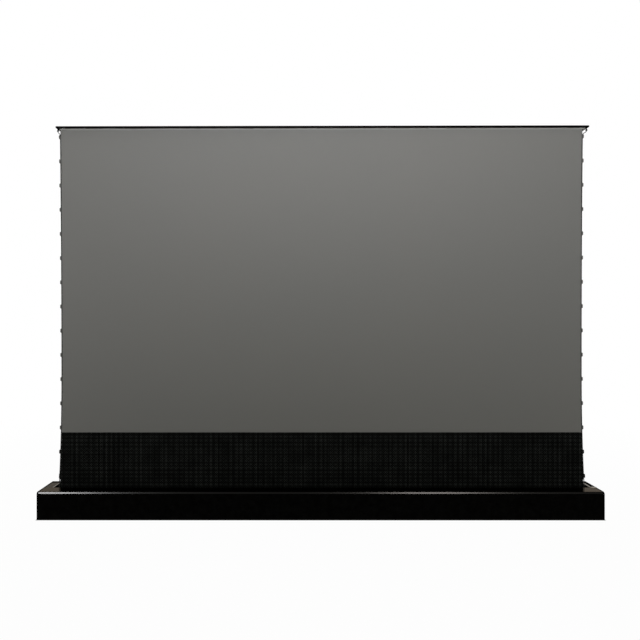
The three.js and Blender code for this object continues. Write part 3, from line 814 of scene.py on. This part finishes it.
def makeTabs(word, side, heights):
    parts = [tabMesh(side, z, tab["reach"]) for z in heights]
    if side < 0:
        parts[-1] = tabMesh(side, heights[-1], tab["lastReach"])
    tabs = joined("tabs" + word.title(), parts, "webbing")
    tabs.data.materials.append(finishes["tab"])
    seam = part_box("projection_fabric")[0].z
    for face in tabs.data.polygons:
        face.material_index = 1 if face.center.z > seam else 0
    sewn = []
    for z in heights:
        edge = screen["middle"] + side * (halfWidth(z) - screen["edge"])
        for row in sewing["rows"]:
            for place in sewing["places"]:
                centre = (edge - side * row, screen["plane"] + sewing["proud"], z + place * sewing["pitch"])
                sewn.append(stitch(centre, *sewing["size"]))
    return tabs, joined("tabStitches" + word.title(), sewn, "thread")


def makeScreen():
    cloth = makeFabric("projectionFabric", "projection_fabric", "grey", 60)
    drop = makeFabric("blackDrop", "black_drop", "black", 16)
    trims = []
    heights = [tab["top"] - tab["pitch"] * i for i in range(tab["count"])]
    for word, side in sides.items():
        edge = newPiece("hem" + word.title(), hemMesh(side, heights[-1]), "webbing")
        tabs, stitches = makeTabs(word, side, heights)
        line = tube(cordPath(side), cord["radius"], cord["around"])
        taut = newPiece("tensionCord" + word.title(), line, "cord")
        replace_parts(tabs, "tab_strip_" + word)
        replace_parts(taut, "tension_cord_" + word)
        for piece in (edge, tabs, stitches):
            crumple(piece)
        crumple(taut)
        trims += [edge, tabs, stitches]
    return cloth, drop, trims


greyPiece, dropPiece, screenTrims = makeScreen()
print("screen ready")


# Solids of the frame that keep their shape: their finish and how wide their edges are softened
keptNodes = [
    ("rearProfile", 0.0007, ["base_profile"]),
    ("armAnodised", 0.0016, ["front_arm", "rear_arm"]),
    ("armAnodised", 0.001, ["lower_pivot_block", "upper_pivot_block"]),
    ("innerPlastic", 0.0005, ["power_inlet", "switch_housing"]),
    ("innerPlastic", 0.0006, ["switch_rocker"]),
    ("innerPlastic", 0.0015, ["control_box"]),
    ("bare", 0.0003, ["roller_tube"]),
    ("bare", 0.0006, ["guide_rod"]),
    ("bare", 0.0005, ["fabric_batten"] + [stage + "_rail_" + word for stage in stages for word in sides]),
    ("zinc", 0.0006, ["roller_bracket_" + word for word in sides]),
    ("zinc", 0.0006, [stage + "_" + row + "_link" for stage in stages for row in ranks]),
    ("acetal", 0.0006, ["idler_plug", "drive_wheel"]),
    ("acetal", 0.001, [stage + "_slide_block_" + word for stage in stages for word in sides]),
    ("paint", 0.0008, ["tubular_motor"]),
    ("paint", 0.0007, ["gas_cylinder_" + word for word in sides]),
    ("rod", 0.0004, ["gas_rod_" + word for word in sides]),
]
softFrom = math.radians(38)  # edges sharper than this are softened


def dressNode(solid, finish, width):
    solid.data.materials.clear()
    solid.data.materials.append(finishes[finish])
    weld = solid.modifiers.new("weld", "WELD")
    weld.merge_threshold = 0.00001
    bevel = solid.modifiers.new("softEdges", "BEVEL")
    bevel.width = width
    bevel.segments = 2
    bevel.limit_method = "ANGLE"
    bevel.angle_limit = softFrom
    bevel.use_clamp_overlap = True
    shadeEvenly(solid)


for keptFinish, edgeWidth, keptNames in keptNodes:
    for keptName in keptNames:
        dressNode(nodes[keptName], keptFinish, edgeWidth)
print("frame dressed")


# An outline in Y and Z, drawn along X from one end to the other
def extruded(loops, ends, rim):
    low, high = sorted(ends)
    return plate(loops, high - low, rim, shift(low, 0, 0) @ alongX)


def softBlock(xs, ys, zs, corner, rim):
    low = Vector((min(xs), ys[0], zs[0]))
    size = Vector((max(xs), ys[1], zs[1])) - low
    outline = [(0, 0), (size.x, 0), (size.x, size.y), (0, size.y)]
    return plate([rounded(outline, corner)], size.z, rim, shift(*low))


# A countersunk screw: its head has a cross recess over a solid floor
screw = {
    "radius": 0.0040,
    "depth": 0.0014,
    "arm": 0.0021,
    "slot": 0.0008,
    "rim": 0.25,  # share of the depth
    "floor": (1.04, 0.45, 0.5),  # radius, place and thickness, as shares of the head's
    "floorRim": 0.0001,
}


def screwParts(place, scale):
    arm, half = screw["arm"] * scale, screw["slot"] * scale / 2
    cross = [(half, arm), (half, half), (arm, half), (arm, -half), (half, -half), (half, -arm)]
    cross += [(-x, -y) for x, y in cross]
    radius, depth = screw["radius"] * scale, screw["depth"] * scale
    wider, lower, thick = screw["floor"]
    under = place @ shift(0, 0, -depth * lower)
    return [
        plate([circle(0, 0, radius), cross], depth, depth * screw["rim"], place, 1),
        plate([circle(0, 0, radius * wider)], depth * thick, screw["floorRim"], under, 1),
    ]


def makeScrews(name, seats, body="base", scale=1.0):
    joined(name, [part for seat in seats for part in screwParts(seat, scale)], "zinc", body)


# Case: front cover and end caps; the base profile stays the solid of the frame
case = {
    "half": 1.172,
    "front": -0.085,
    "rear": 0.085,
    "bottom": 0.003,
    "skirt": 0.0021,
    "top": 0.115,
    "bevel": 0.0067,
    "bevelEnds": (7, 8),  # the points of the rounded outline at the bevel's two ends
    "paintedShadeStrip": 0.0015,  # painted shade: the bevel's upper strip keeps the cover's dark finish, a dark line above the bevel's highlight
    "wall": 0.003,
    "play": 0.0003,
    "slotFront": -0.015,
    "slotRear": 0.061,
    "slotEnds": {"left": -1.1290, "right": 1.1445},
    "lip": 0.011,
    "capRim": 0.003,  # how far the cap's rim reaches over the cover
    "capStep": 0.0005,
    "shoulders": {"left": 0.0065, "right": 0.0180},  # black part of the top beside the slot
    "shoulderStep": 0.0006,
    "beads": {"left": 0.005, "right": 0.0088},
    "corner": 0.0009,
    "rim": 0.0004,
    "flat": 0.95,  # normals of the top and of the bevel
    "slanted": 0.55,
    "capCorner": 0.0016,
    "capEdge": 0.0006,
    "screwInset": 0.013,
    "screwShift": 0.002,  # the upper front screw stands back from the bevel
    "screwSeat": 0.0018,
}


def coverOutline():
    front, top, wall, bevel = case["front"], case["top"], case["wall"], case["bevel"]
    edge, lip = case["slotFront"], top - case["lip"]
    mitre = wall * math.tan(math.pi / 8)
    outline = [
        (front, case["skirt"]), (front, top - bevel), (front + bevel, top), (edge, top), (edge, lip),
        (edge - wall, lip), (edge - wall, top - wall), (front + bevel + mitre, top - wall),
        (front + wall, top - bevel - mitre), (front + wall, case["skirt"]),
    ]
    points = rounded(outline, case["corner"])
    # A point splits the bevel where its painted shade strip ends
    low, high = case["bevelEnds"]
    share = (top - case["paintedShadeStrip"] - points[low][1]) / (points[high][1] - points[low][1])
    split = Vector(points[low]).lerp(Vector(points[high]), share)
    points.insert(high, (split.x, split.y))
    return points


def makeCover():
    half = case["half"] - case["wall"] - case["capRim"] - case["play"]
    cover = newPiece("frontCover", extruded([coverOutline()], (-half, half), case["rim"]), "anodised")
    for finish in ("bevel", "coverTop"):
        cover.data.materials.append(finishes[finish])
    # Painted shade: the bevel's faces above the split keep the dark finish
    bevelTop, slanted = case["top"] - case["paintedShadeStrip"], case["slanted"]
    for face in cover.data.polygons:
        if face.normal.z > case["flat"]:
            face.material_index = 2
        elif face.normal.y < -slanted and face.normal.z > slanted and face.center.z < bevelTop:
            face.material_index = 1
    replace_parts(cover, "front_cover")


slotParts = {  # how far each lies under the top, its corner and rim
    "shoulder": (0.0001, 0.0012, 0.0005),
    "plate": (0.0003, 0.0008, 0.0005),
    "bead": (0, 0.0010, 0.0008),
    "lip": (0.0002, 0.0008, 0.0004),
}


def slotPart(kind, ends, low, high):
    sunk, corner, rim = slotParts[kind]
    deep = (case["slotFront"] + case["play"], case["slotRear"] - case["play"])
    return softBlock(ends, deep, (low, high - sunk), corner, rim)


# Beside the slot the cap has a black shoulder, a plate and a bead around the end of the slot
def makeSlotEnd(word, side):
    outer, top, slotEnd = side * case["half"], case["top"], case["slotEnds"][word]
    under = top - case["wall"]
    inner = outer - side * case["shoulders"][word]
    bead = slotEnd + side * case["beads"][word]
    newPiece("slotPlate" + word.title(), slotPart("plate", (inner, bead), under, top), "slotPlate")
    newPiece("slotBead" + word.title(), slotPart("bead", (slotEnd, bead), under, top), "slotLip")
    return [
        slotPart("shoulder", (outer - side * case["shoulderStep"], inner), under, top),
        slotPart("lip", (slotEnd, slotEnd + side * case["wall"]), top - case["lip"], under),
    ]


# A light clip-like block beside the slot's right end: a painted highlight where the edge of the cap's plate
# catches light
clip = {
    "start": 0.0025,
    "end": 0.0004,
    "front": 0.005,
    "rear": 0.008,
    "sunk": 0.0005,
    "proud": 0.0008,
    "soft": (0.002, 0.0003),  # corner and rim
}


def makeEndCaps():
    front, rear, top, bottom = case["front"], case["rear"], case["top"], case["bottom"]
    edge, wall = case["screwInset"], case["wall"]
    spots = [(front + edge, bottom + edge), (rear - edge, bottom + edge)]
    spots += [(front + edge + case["screwShift"], top - edge), (rear - edge, top - edge)]
    outline = [(front, bottom), (rear, bottom), (rear, top), (front + case["bevel"], top)]
    outline.append((front, top - case["bevel"]))
    holes = [circle(y, z, screw["radius"] + case["play"]) for y, z in spots]
    for word, side in sides.items():
        outer = side * case["half"]
        loops = [rounded(outline, case["capCorner"])] + holes
        rimEnds = (outer - side * case["capStep"], outer - side * (wall + case["capRim"]))
        parts = [extruded(loops, (outer, outer - side * wall), case["capEdge"])]
        parts.append(extruded([coverOutline()], rimEnds, case["rim"]))
        parts += makeSlotEnd(word, side)
        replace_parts(joined("endCap" + word.title(), parts, "plastic"), "end_cap_" + word)
        face = outer - side * case["screwSeat"]
        seats = [shift(face, y, z) @ facing((side, 0, 0)) for y, z in spots]
        makeScrews("endCapScrews" + word.title(), seats)
    # The light block: a painted highlight at the slot's right end
    xs = (case["slotEnds"]["right"] + clip["start"], case["half"] - clip["end"])
    ys = (case["slotFront"] - clip["front"], case["slotFront"] + clip["rear"])
    zs = (top - clip["sunk"], top + clip["proud"])
    newPiece("coverGlintBlock", softBlock(xs, ys, zs, *clip["soft"]), "clip")


footOutline = [  # height and radius
    (0.0018, 0.0036), (0.0018, 0.0060), (0.0004, 0.0066), (0.0, 0.0075), (0.0, 0.0125),
    (0.0003, 0.0138), (0.0010, 0.0146), (0.0019, 0.0150), (0.0030, 0.0150),
]


def makeFeet():
    for row in ranks:
        for word in sides:
            node = "foot_" + row + "_" + word
            low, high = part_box(node)
            place = shift((low.x + high.x) / 2, (low.y + high.y) / 2, 0)
            foot = newPiece("foot" + row.title() + word.title(), lathe(footOutline, place), "rubber")
            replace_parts(foot, node)


makeCover()
makeEndCaps()
makeFeet()
print("case ready")


# Top bar with two fine grooves, its end caps and the holders of the cords
bar = {
    "middle": 0.0115,
    "half": 1.132,
    "plateHalf": 1.129,
    "front": -0.013,
    "rear": 0.059,
    "flange": 0.0025,
    "under": 1.645,
    "top": 1.649,
    "flangeFoot": 1.615,
    "cap": 0.0027,
    "capSkirt": 0.0032,
    "grooves": (-0.007, 0.047),
    "groove": 0.0006,
    "grooveFloor": 0.7,  # share of its width
    "beamSoft": (0.0009, 0.0003),  # corner and rim
    "capSoft": (0.0012, 0.0007),
    "hookSoft": (0.0009, 0.0005),
    "tipSoft": (0.0015, 0.0004),
    "hook": [  # outline of the cord holder, outward from the cap and up from the bar's underside
        (-0.0022, 0.0003), (-0.0022, -0.0078), (-0.0002, -0.0088), (-0.0002, -0.0142),
        (-0.0072, -0.0142), (-0.0072, -0.0088), (-0.0052, -0.0078), (-0.0046, 0.0003),
    ],
    "hookRear": 0.0071,
    "hookDepth": 0.0042,
    "eye": 0.0017,
    "eyeInset": 0.0034,  # eye of the cord holder, from the end and from the underside
    "eyeDrop": 0.0112,
    "eyeSides": 12,
    "screws": (0.014, 0.040),
    "screwSize": 0.42,
    "screwProud": 0.0001,
    "battenTip": 1.1360,
    "tipOverlap": 0.002,
    "tipSunk": 0.0002,
}


def makeBar():
    front, rear, under, top, foot = bar["front"], bar["rear"], bar["under"], bar["top"], bar["flangeFoot"]
    inner, wide, skirt = rear - bar["flange"], bar["groove"], under - bar["capSkirt"]
    outline = [(front, under), (inner, under), (inner, foot), (rear, foot), (rear, top)]
    floor = wide * bar["grooveFloor"]
    for y in reversed(bar["grooves"]):
        outline += [(y + wide, top), (y + floor, top - wide), (y - floor, top - wide), (y - wide, top)]
    outline.append((front, top))
    ends = (bar["middle"] - bar["plateHalf"], bar["middle"] + bar["plateHalf"])
    corner, rim = bar["beamSoft"]
    beam = extruded([rounded(outline, corner)], ends, rim)
    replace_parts(newPiece("topBar", beam, "barAnodised", "top_bar"), "top_bar")
    capOutline = [(front, skirt), (inner, skirt), (inner, foot), (rear, foot), (rear, top), (front, top)]
    for word, side in sides.items():
        outer = bar["middle"] + side * bar["half"]
        hook = [(outer + side * x, under + z) for x, z in bar["hook"]]
        eye = circle(outer - side * bar["eyeInset"], under - bar["eyeDrop"], bar["eye"], bar["eyeSides"])
        place = shift(0, bar["hookRear"], 0) @ alongY
        corner, rim = bar["capSoft"]
        parts = [extruded([rounded(capOutline, corner)], (outer, outer - side * bar["cap"]), rim)]
        corner, rim = bar["hookSoft"]
        parts.append(plate([rounded(hook, corner), eye], bar["hookDepth"], rim, place))
        cap = joined("barCap" + word.title(), parts, "capPlastic", "top_bar")
        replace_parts(cap, "bar_cap_" + word)
        face, height = outer + side * bar["screwProud"], (under + top) / 2
        seats = [shift(face, y, height) @ facing((side, 0, 0)) for y in bar["screws"]]
        makeScrews("barCapScrews" + word.title(), seats, "top_bar", bar["screwSize"])
    low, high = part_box("fabric_batten")
    sunk, overlap = bar["tipSunk"], bar["tipOverlap"]
    ys = (low.y + sunk, high.y - sunk)
    tip = softBlock((high.x - overlap, bar["battenTip"]), ys, (low.z, high.z), *bar["tipSoft"])
    # The tip wears the pocket's lighter fabric and its painted highlight
    newPiece("battenTip", tip, "pocket", "top_bar")


makeBar()
print("bar ready")


# Turns the faces of a closed part outward
def outward(part):
    points, faces = part
    volume = 0
    for face in faces:
        first = Vector(points[face[0]])
        for a, b in zip(face[1:], face[2:]):
            volume += first.dot(Vector(points[a]).cross(Vector(points[b])))
    return points, [face[::-1] for face in faces] if volume < 0 else faces


# Strips that run along the whole width of the cloth; the ring holds (y, z)
def crossStrip(name, ring, half, steps, finish):
    stops = levels(screen["middle"] - half, screen["middle"] + half, steps)
    return newPiece(name, outward(skin([[(x, y, z) for y, z in ring] for x in stops])), finish)


seams = {
    "overlap": 0.007,  # above and below the line where grey meets black
    "gauge": 0.0007,
    "edge": 0.0006,  # height of its soft edges
    "inset": 0.0006,  # of its ends
    "rows": (-0.0045, 0.0045),
    "stitchPitch": 0.0085,
    "stitch": (0.0022, 0.0003, 0.00025),
    "stitchSunk": 0.00005,
    "pocket": 0.0066,  # height of the fold that holds the batten
    "pocketHeight": 1.64,
    "pocketInset": 0.001,
    "pocketProud": 0.0004,
    "sunk": 0.0002,
}


def makeSeams():
    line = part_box("projection_fabric")[0].z
    half = halfWidth(line) - screen["edge"] - seams["inset"]
    sunk, tall = seams["sunk"], seams["overlap"]
    rear = screen["plane"] + sunk
    back = rear + seams["gauge"]
    low, high, edge = line - tall, line + tall, seams["edge"]
    ring = [(rear, low), (back - sunk, low), (back, low + edge)]
    ring += [(back, high - edge), (back - sunk, high), (rear, high)]
    strip = crossStrip("seamStrip", ring, half, 40, "webbing")
    sewn = []
    for row in seams["rows"]:
        for i in range(int(half * 2 / seams["stitchPitch"])):
            x = screen["middle"] - half + seams["stitchPitch"] * (i + 0.5)
            place = shift(x, back - seams["stitchSunk"], line + row) @ Matrix.Rotation(math.pi / 2, 4, "Y")
            sewn.append(moved(stitch((0, 0, 0), *seams["stitch"]), place))
    stitches = joined("seamStitches", sewn, "thread")
    proud = seams["pocketProud"]
    top = screen["barUnderside"] - proud
    foot = top - seams["pocket"]
    rear = screen["plane"] - sunk
    front = rear - proud
    ring = [(rear, foot), (rear, top), (front, top), (front, foot + proud), (front + sunk, foot)]
    half = halfWidth(seams["pocketHeight"]) - screen["edge"] - seams["pocketInset"]
    # The pocket takes the lighter copy of the grey fabric: a painted highlight
    pocket = crossStrip("battenPocket", ring, half, 24, "pocket")
    for piece in (strip, stitches, pocket):
        crumple(piece)
    return [strip, stitches, pocket]


# The black leader is wound on the roller, and the cords take one turn each at its ends
winding = {
    "axis": (-0.02225, 0.058),
    "turns": 4,
    "pitch": 0.00045,
    "gauge": 0.00028,
    "outer": 0.02725,  # the drop leaves the roller here
    "ends": (-1.112, 1.128),
    "perTurn": 40,
    "cordStep": 0.0031,
    "tube": 0.025,
}


def onRoller(radius, angle, x):
    y, z = winding["axis"]
    return (x, y + radius * math.cos(angle), z + radius * math.sin(angle))


def makeWinding():
    low, high = winding["ends"]
    steps = winding["turns"] * winding["perTurn"]
    half = winding["gauge"] / 2
    rows = []
    for i in range(steps + 1):
        angle = 2 * math.pi * (i - steps) / winding["perTurn"]
        middle = winding["outer"] + winding["pitch"] * (i - steps) / winding["perTurn"]
        corners = [(middle - half, low), (middle - half, high), (middle + half, high), (middle + half, low)]
        rows.append([onRoller(radius, angle, x) for radius, x in corners])
    leader = newPiece("woundLeader", outward(skin(rows)), "woundFabric", "roller")
    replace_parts(leader, "wound_leader")
    edge = halfWidth(screen["rollerHeight"]) - cord["radius"]
    inner = winding["tube"] + cord["radius"]
    for word, side in sides.items():
        path = []
        for share in levels(0, 1, winding["perTurn"]):
            radius = inner + (winding["outer"] - inner) * share ** 2
            out = edge - winding["cordStep"] * (1 - share)
            path.append(onRoller(radius, 2 * math.pi * share, screen["middle"] + side * out))
        turn = outward(tube(path, cord["radius"], cord["around"], (1, 0, 0)))
        newPiece("cordTurn" + word.title(), turn, "cord", "roller")
    return leader


# The cord ends in a loop through the eye of the holder
cordLoop = {
    "place": (0.0050, 0.0131),  # its middle, to the rear and under the bar
    "half": (0.0031, 0.0018),
    "radius": 0.0011,
    "around": 8,
    "steps": 24,
}


def makeCordLoops():
    y, drop = cordLoop["place"]
    deep, tall = cordLoop["half"]
    for word, side in sides.items():
        x = bar["middle"] + side * (bar["half"] - bar["eyeInset"])
        path = []
        for angle in levels(0, 2 * math.pi, cordLoop["steps"]):
            path.append((x, y + deep * math.cos(angle), bar["under"] - drop + tall * math.sin(angle)))
        loop = outward(tube(path, cordLoop["radius"], cordLoop["around"], (1, 0, 0)))
        newPiece("cordLoop" + word.title(), loop, "cord", "top_bar")


seamPieces = makeSeams()
leaderPiece = makeWinding()
makeCordLoops()
print("cloth trims ready")


# Pins with turned heads, and white washers between the arms and links
pinFacts = {
    "tallHead": 0.0034,
    "thinHead": 0.0014,
    "edge": 0.0006,
    "dimple": 0.0005,
    "washerRim": 0.0004,
    "play": 0.0002,
}
frontGap = [(0.0131, 0.0149)]
rearGap = [(0.0411, 0.0429)]
pivotGaps = [(0.0131, 0.0144), (0.0416, 0.0429)]
pinList = {  # body, thin front head, shaft radius, washer radius, gaps that hold a washer
    "centre_pin": ("rear_arm", False, 0.006, 0.0112, [(0.0271, 0.0289)]),
    "lower_front_link_pin": ("front_arm", True, 0.005, 0.0085, frontGap),
    "upper_front_link_pin": ("front_arm", True, 0.005, 0.0085, frontGap),
    "lower_rear_link_pin": ("rear_arm", False, 0.005, 0.0085, rearGap),
    "upper_rear_link_pin": ("rear_arm", False, 0.005, 0.0085, rearGap),
    "lower_pivot_pin": ("base", True, 0.005, 0.0085, pivotGaps),
    "upper_pivot_pin": ("top_bar", True, 0.005, 0.0085, pivotGaps),
}


def camel(name):
    first, *rest = name.split("_")
    return first + "".join(word.title() for word in rest)


def turnedHead(start, thick, radius, outwards):
    edge, dimple = pinFacts["edge"], pinFacts["dimple"]
    outside = start + outwards * thick
    inside = outside - outwards * dimple
    return [
        (start, radius - edge * 0.5), (start + outwards * edge * 0.3, radius),
        (outside - outwards * edge, radius), (outside - outwards * edge * 0.3, radius - edge * 0.4),
        (outside, radius - edge * 1.3), (outside, radius * 0.42), (inside, radius * 0.30),
    ]


def washer(inner, outer, low, high, place):
    rim = pinFacts["washerRim"]
    outline = [(low, inner), (low, outer - rim), (low + rim, outer), (high - rim, outer), (high, outer - rim)]
    outline.append((high, inner))
    points, faces = lathe(outline, place, smallRound)
    return points, faces[:-2] + band(len(points) - smallRound, 0, smallRound)


def makePins():
    tall = pinFacts["tallHead"]
    for node, (body, thin, shaft, wide, gaps) in pinList.items():
        low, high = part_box(node)
        place = shift((low.x + high.x) / 2, 0, (low.z + high.z) / 2) @ facing((0, 1, 0))
        head = (high.x - low.x) / 2
        frontThick = pinFacts["thinHead"] if thin else tall
        frontFace, rearFace = low.y + frontThick, high.y - tall
        outline = turnedHead(frontFace, frontThick, head, -1)[::-1] + [(frontFace, shaft), (rearFace, shaft)]
        outline += turnedHead(rearFace, tall, head, 1)
        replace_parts(newPiece(camel(node), lathe(outline, place), "zinc", body), node)
        parts = [washer(shaft + pinFacts["play"], wide, *gap, place) for gap in gaps]
        joined(camel(node) + "Washers", parts, "acetal", body)


# A steel disc and a screw hold each arm on the stud of its slide block
keeper = {
    "outline": [
        (0.0001, 0.0030), (0.0001, 0.0086), (0.0006, 0.0090), (0.0011, 0.0090), (0.0015, 0.0086),
        (0.0015, 0.0050), (0.0012, 0.0044),
    ],
    "screwSeat": 0.0011,
    "screwSize": 0.9,
}


def makeArmEnds():
    for stage in stages:
        for word in sides:
            node = stage + "_slide_block_" + word
            low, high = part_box(node)
            place = shift((low.x + high.x) / 2, low.y, (low.z + high.z) / 2) @ facing((0, -1, 0))
            seat = place @ shift(0, 0, keeper["screwSeat"])
            parts = [lathe(keeper["outline"], place, smallRound)] + screwParts(seat, keeper["screwSize"])
            joined(camel(node) + "Keeper", parts, "zinc", stage + "_" + word + "_slide")


# Gas springs: crimped neck, ring, middle band and end plug on the painted tube
gas = {
    "radius": 0.0075,
    "axis": (0.0496, 0.0133),
    "chamfer": (0.0003, 0.0004),
    "neck": (0.0040, 0.004),  # from the tube's outer end, and how wide
    "ring": (0.0120, 0.0016),
    "band": 0.010,
    "plug": (0.0260, 0.006),  # from the tube's inner end
}


def makeGasTrims():
    radius = gas["radius"]
    along, down = gas["chamfer"]
    for word, side in sides.items():
        low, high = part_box("gas_cylinder_" + word)
        outer, inner = (low.x, high.x) if side < 0 else (high.x, low.x)
        spots = [(outer - side * back, wide) for back, wide in (gas["neck"], gas["ring"])]
        spots += [((outer + inner) / 2, gas["band"]), (inner + side * gas["plug"][0], gas["plug"][1])]
        parts = []
        for x, wide in spots:
            end, low = wide / 2, radius - down
            outline = [(-end, low), (-end + along, radius), (end - along, radius), (end, low)]
            parts.append(lathe(outline, shift(x, *gas["axis"]) @ facing((1, 0, 0)), smallRound))
        joined("gasSpringBands" + word.title(), parts, "zinc")


makePins()
makeArmEnds()
makeGasTrims()
print("lift details ready")


# Screws that show from behind and inside: body, rear face, height, places and size
wallSpots = (-1.09, -0.91, -0.73, 0.73, 0.91, 1.09)
screwRows = {
    "barRailScrews": ("top_bar", 0.0584, 1.630, wallSpots, 1.0),
    "pivotBlockScrews": ("top_bar", 0.0584, 1.632, (-0.010, 0.010), 1.0),
    "rearWallScrews": ("base", 0.0844, 0.021, wallSpots, 1.0),
    "bracketScrews": ("base", 0.0844, 0.094, (-1.118, -1.104, 1.104, 1.118), 0.8),
}


def makeScrewRows():
    for name, (body, depth, height, spots, scale) in screwRows.items():
        seats = [shift(screen["middle"] + x, depth, height) @ facing((0, 1, 0)) for x in spots]
        makeScrews(name, seats, body, scale)


# Control box: lid with four screws and two cable glands
control = {
    "lid": 0.0012,
    "lidSunk": 0.0002,
    "inset": 0.0015,
    "lidCorner": 0.003,
    "screwInset": 0.006,
    "screwSize": 0.6,
    "gland": 0.0042,
    "glands": (0.016, 0.036),  # above the box's underside
    "glandSides": 20,
    "glandOutline": [(-0.0002, 1), (0.002, 1), (0.0022, 0.85), (0.006, 0.85), (0.0075, 0.6), (0.0078, 0.3)],
}


def makeControlBox():
    low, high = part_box("control_box")
    edge, lid = control["inset"], control["lid"]
    wide, tall = high.x - low.x - 2 * edge, high.z - low.z - 2 * edge
    outline = rounded([(0, 0), (wide, 0), (wide, tall), (0, tall)], control["lidCorner"])
    place = shift(low.x + edge, high.y + lid - control["lidSunk"], low.z + edge) @ alongY
    newPiece("controlBoxLid", plate([outline], lid, 0.0004, place), "innerPlastic")
    edge = control["screwInset"]
    seats = []
    for x in (low.x + edge, high.x - edge):
        for z in (low.z + edge, high.z - edge):
            seats.append(shift(x, high.y + lid - screw["depth"], z) @ facing((0, 1, 0)))
    makeScrews("controlBoxScrews", seats, "base", control["screwSize"])
    outline = [(along, control["gland"] * share) for along, share in control["glandOutline"]]
    glands = []
    for z in control["glands"]:
        place = shift(high.x, (low.y + high.y) / 2, low.z + z) @ facing((1, 0, 0))
        glands.append(lathe(outline, place, control["glandSides"]))
    joined("controlBoxGlands", glands, "innerPlastic")


# On and off marks of the rocker, printed on its two halves
rocker = {
    "pivot": (-1.075, 0.080, 0.057),
    "tilt": -8,  # degrees
    "half": 0.0055,
    "edgeDepth": 0.0025,
    "middleDepth": 0.00125,
    "sunk": 0.00003,
    "rim": 0.00003,
    "thick": 0.00015,
    "off": (0.0017, 0.00115),  # radii of the ring
    "on": (0.00035, 0.0017),  # half width and height of the bar
    "onCorner": 0.0002,
    "sides": 24,
}


def makeRockerMarks():
    turn = shift(*rocker["pivot"]) @ Matrix.Rotation(math.radians(rocker["tilt"]), 4, "X")
    half, rise = rocker["half"], rocker["edgeDepth"] - rocker["middleDepth"]
    middle = (rocker["edgeDepth"] + rocker["middleDepth"]) / 2 - rocker["sunk"]
    wide, tall = rocker["on"]
    bar = rounded([(-wide, -tall), (-wide, tall), (wide, tall), (wide, -tall)], rocker["onCorner"])
    ring = [circle(0, 0, radius, rocker["sides"]) for radius in rocker["off"]]
    parts = []
    for sign, loops in ((-1, [bar]), (1, ring)):
        seat = turn @ shift(0, middle, sign * half / 2) @ facing((0, half, -sign * rise))
        parts.append(plate(loops, rocker["thick"], rocker["rim"], seat, 1))
    joined("rockerMarks", parts, "acetal", "rocker")


makeScrewRows()
makeControlBox()
makeRockerMarks()
print("screws and electrics ready")


# The trims of the screen and the seam pieces, added together
screenTrims + seamPieces
